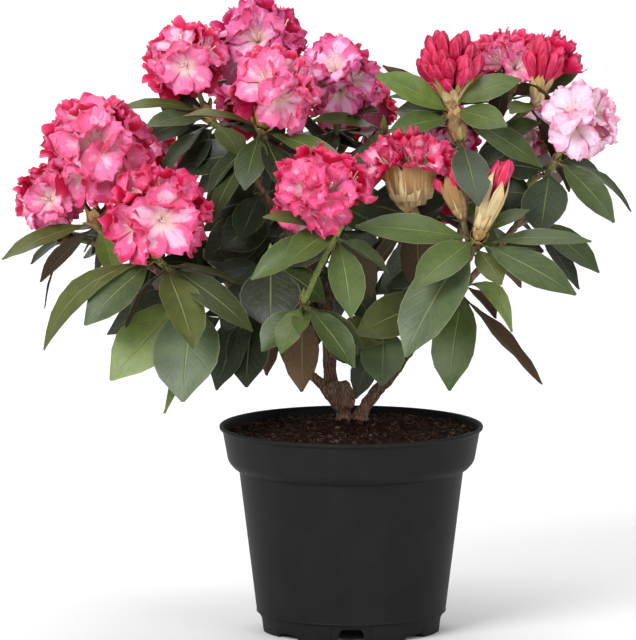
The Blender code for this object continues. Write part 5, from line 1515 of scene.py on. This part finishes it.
def peat_paint():
    """Moist peat between the crumbs: near black, with red-brown fibre."""
    paint = Paint("moist_peat")
    place = paint.place()
    grain = paint.noise(place, 0.6, 5.0, 0.65)
    fibre = paint.noise(paint.stretched(place, 0.3, 1.0, 1.0), 0.8, 3.0, 0.6, 0.8)
    colour = grain.stops([
        (0.34, (0.005, 0.002, 0.0012)), (0.52, (0.018, 0.0065, 0.0038)), (0.72, (0.052, 0.021, 0.012)),
    ])
    colour = (fibre.step(0.60, 0.74) * 0.5).blend(colour, (0.075, 0.034, 0.019))
    return paint.finish(colour, 0.90, grain, 2.0, 1.0, Specular_IOR_Level=0.15)


def crumb_paint():
    """Crumbs and fibres of peat, each of one plain brown."""
    paint = Paint("peat_crumb")
    column, row, across, along = paint.cells()
    tint = (column + row * 4).dealt(CRUMB_TINTS)
    grain = paint.noise(paint.place(), 1.3, 3.0)
    colour = (grain.step(0.35, 0.65) * 0.5).blend(tint, (0.014, 0.005, 0.003))
    return paint.finish(colour, 0.88, grain, 0.8, 1.0, Specular_IOR_Level=0.15)


# ---------------------------------------------------------------- studio
def build_studio():
    """Pale floor, soft lamps, and a long-lens camera at the plant's own height."""
    x, y = np.meshgrid(*[np.linspace(-FLOOR_HALF, FLOOR_HALF, FLOOR_LINES)] * 2)
    points = np.stack([x, y, x * 0 + FLOOR_HEIGHT], -1).reshape(-1, 3)
    faces = quads_of(np.arange(FLOOR_LINES**2).reshape(FLOOR_LINES, FLOOR_LINES))[:, ::-1]
    mesh = bpy.data.meshes.new("floor")
    mesh.from_pydata((points * MM).tolist(), [], faces.tolist())
    floor = bpy.data.objects.new("floor", mesh)
    bpy.context.scene.collection.objects.link(floor)
    mesh.materials.append(Paint("studio_floor").finish(FLOOR_COLOUR, 0.9))
    floor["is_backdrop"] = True

    world = bpy.data.worlds.new("studio")
    bpy.context.scene.world = world
    world.use_nodes = True
    sky = world.node_tree.nodes["Background"].inputs
    sky["Color"].default_value = (1.0, 1.0, 1.0, 1.0)
    sky["Strength"].default_value = SKY_STRENGTH
    bpy.context.scene.view_settings.view_transform = "Standard"
    for name, place, size, power in LAMPS:
        lamp = bpy.data.lights.new(name, "AREA")
        lamp.shape = "RECTANGLE"
        lamp.size, lamp.size_y = size
        lamp.energy = power
        holder = bpy.data.objects.new(name, lamp)
        bpy.context.scene.collection.objects.link(holder)
        holder.location = place
        if name != "backdrop":
            holder.rotation_euler = (LAMP_AIM - holder.location).to_track_quat("-Z", "Y").to_euler()

    camera = bpy.data.cameras.new("camera")
    camera.sensor_width = SENSOR_WIDTH
    camera.lens = SENSOR_WIDTH / 2 * CAMERA_DISTANCE * 1000 / MM_PER_PIXEL / HALF_PICTURE
    camera.clip_end = 100.0
    holder = bpy.data.objects.new("camera", camera)
    bpy.context.scene.collection.objects.link(holder)
    tilt = math.radians(CAMERA_ELEVATION)
    holder.location = CAMERA_AIM + CAMERA_DISTANCE * Vector((0, -math.cos(tilt), math.sin(tilt)))
    holder.rotation_euler = (math.pi / 2 - tilt, 0, 0)
    bpy.context.scene.camera = holder


build_pot()
build_soil()
build_limbs()
build_twigs()
build_leaves()
build_blossom()
build_studio()
sizes = {"cad": CAD_BOX, "looks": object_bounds()}
{name: [list(map(float, corner)) for corner in box] for name, box in sizes.items()}
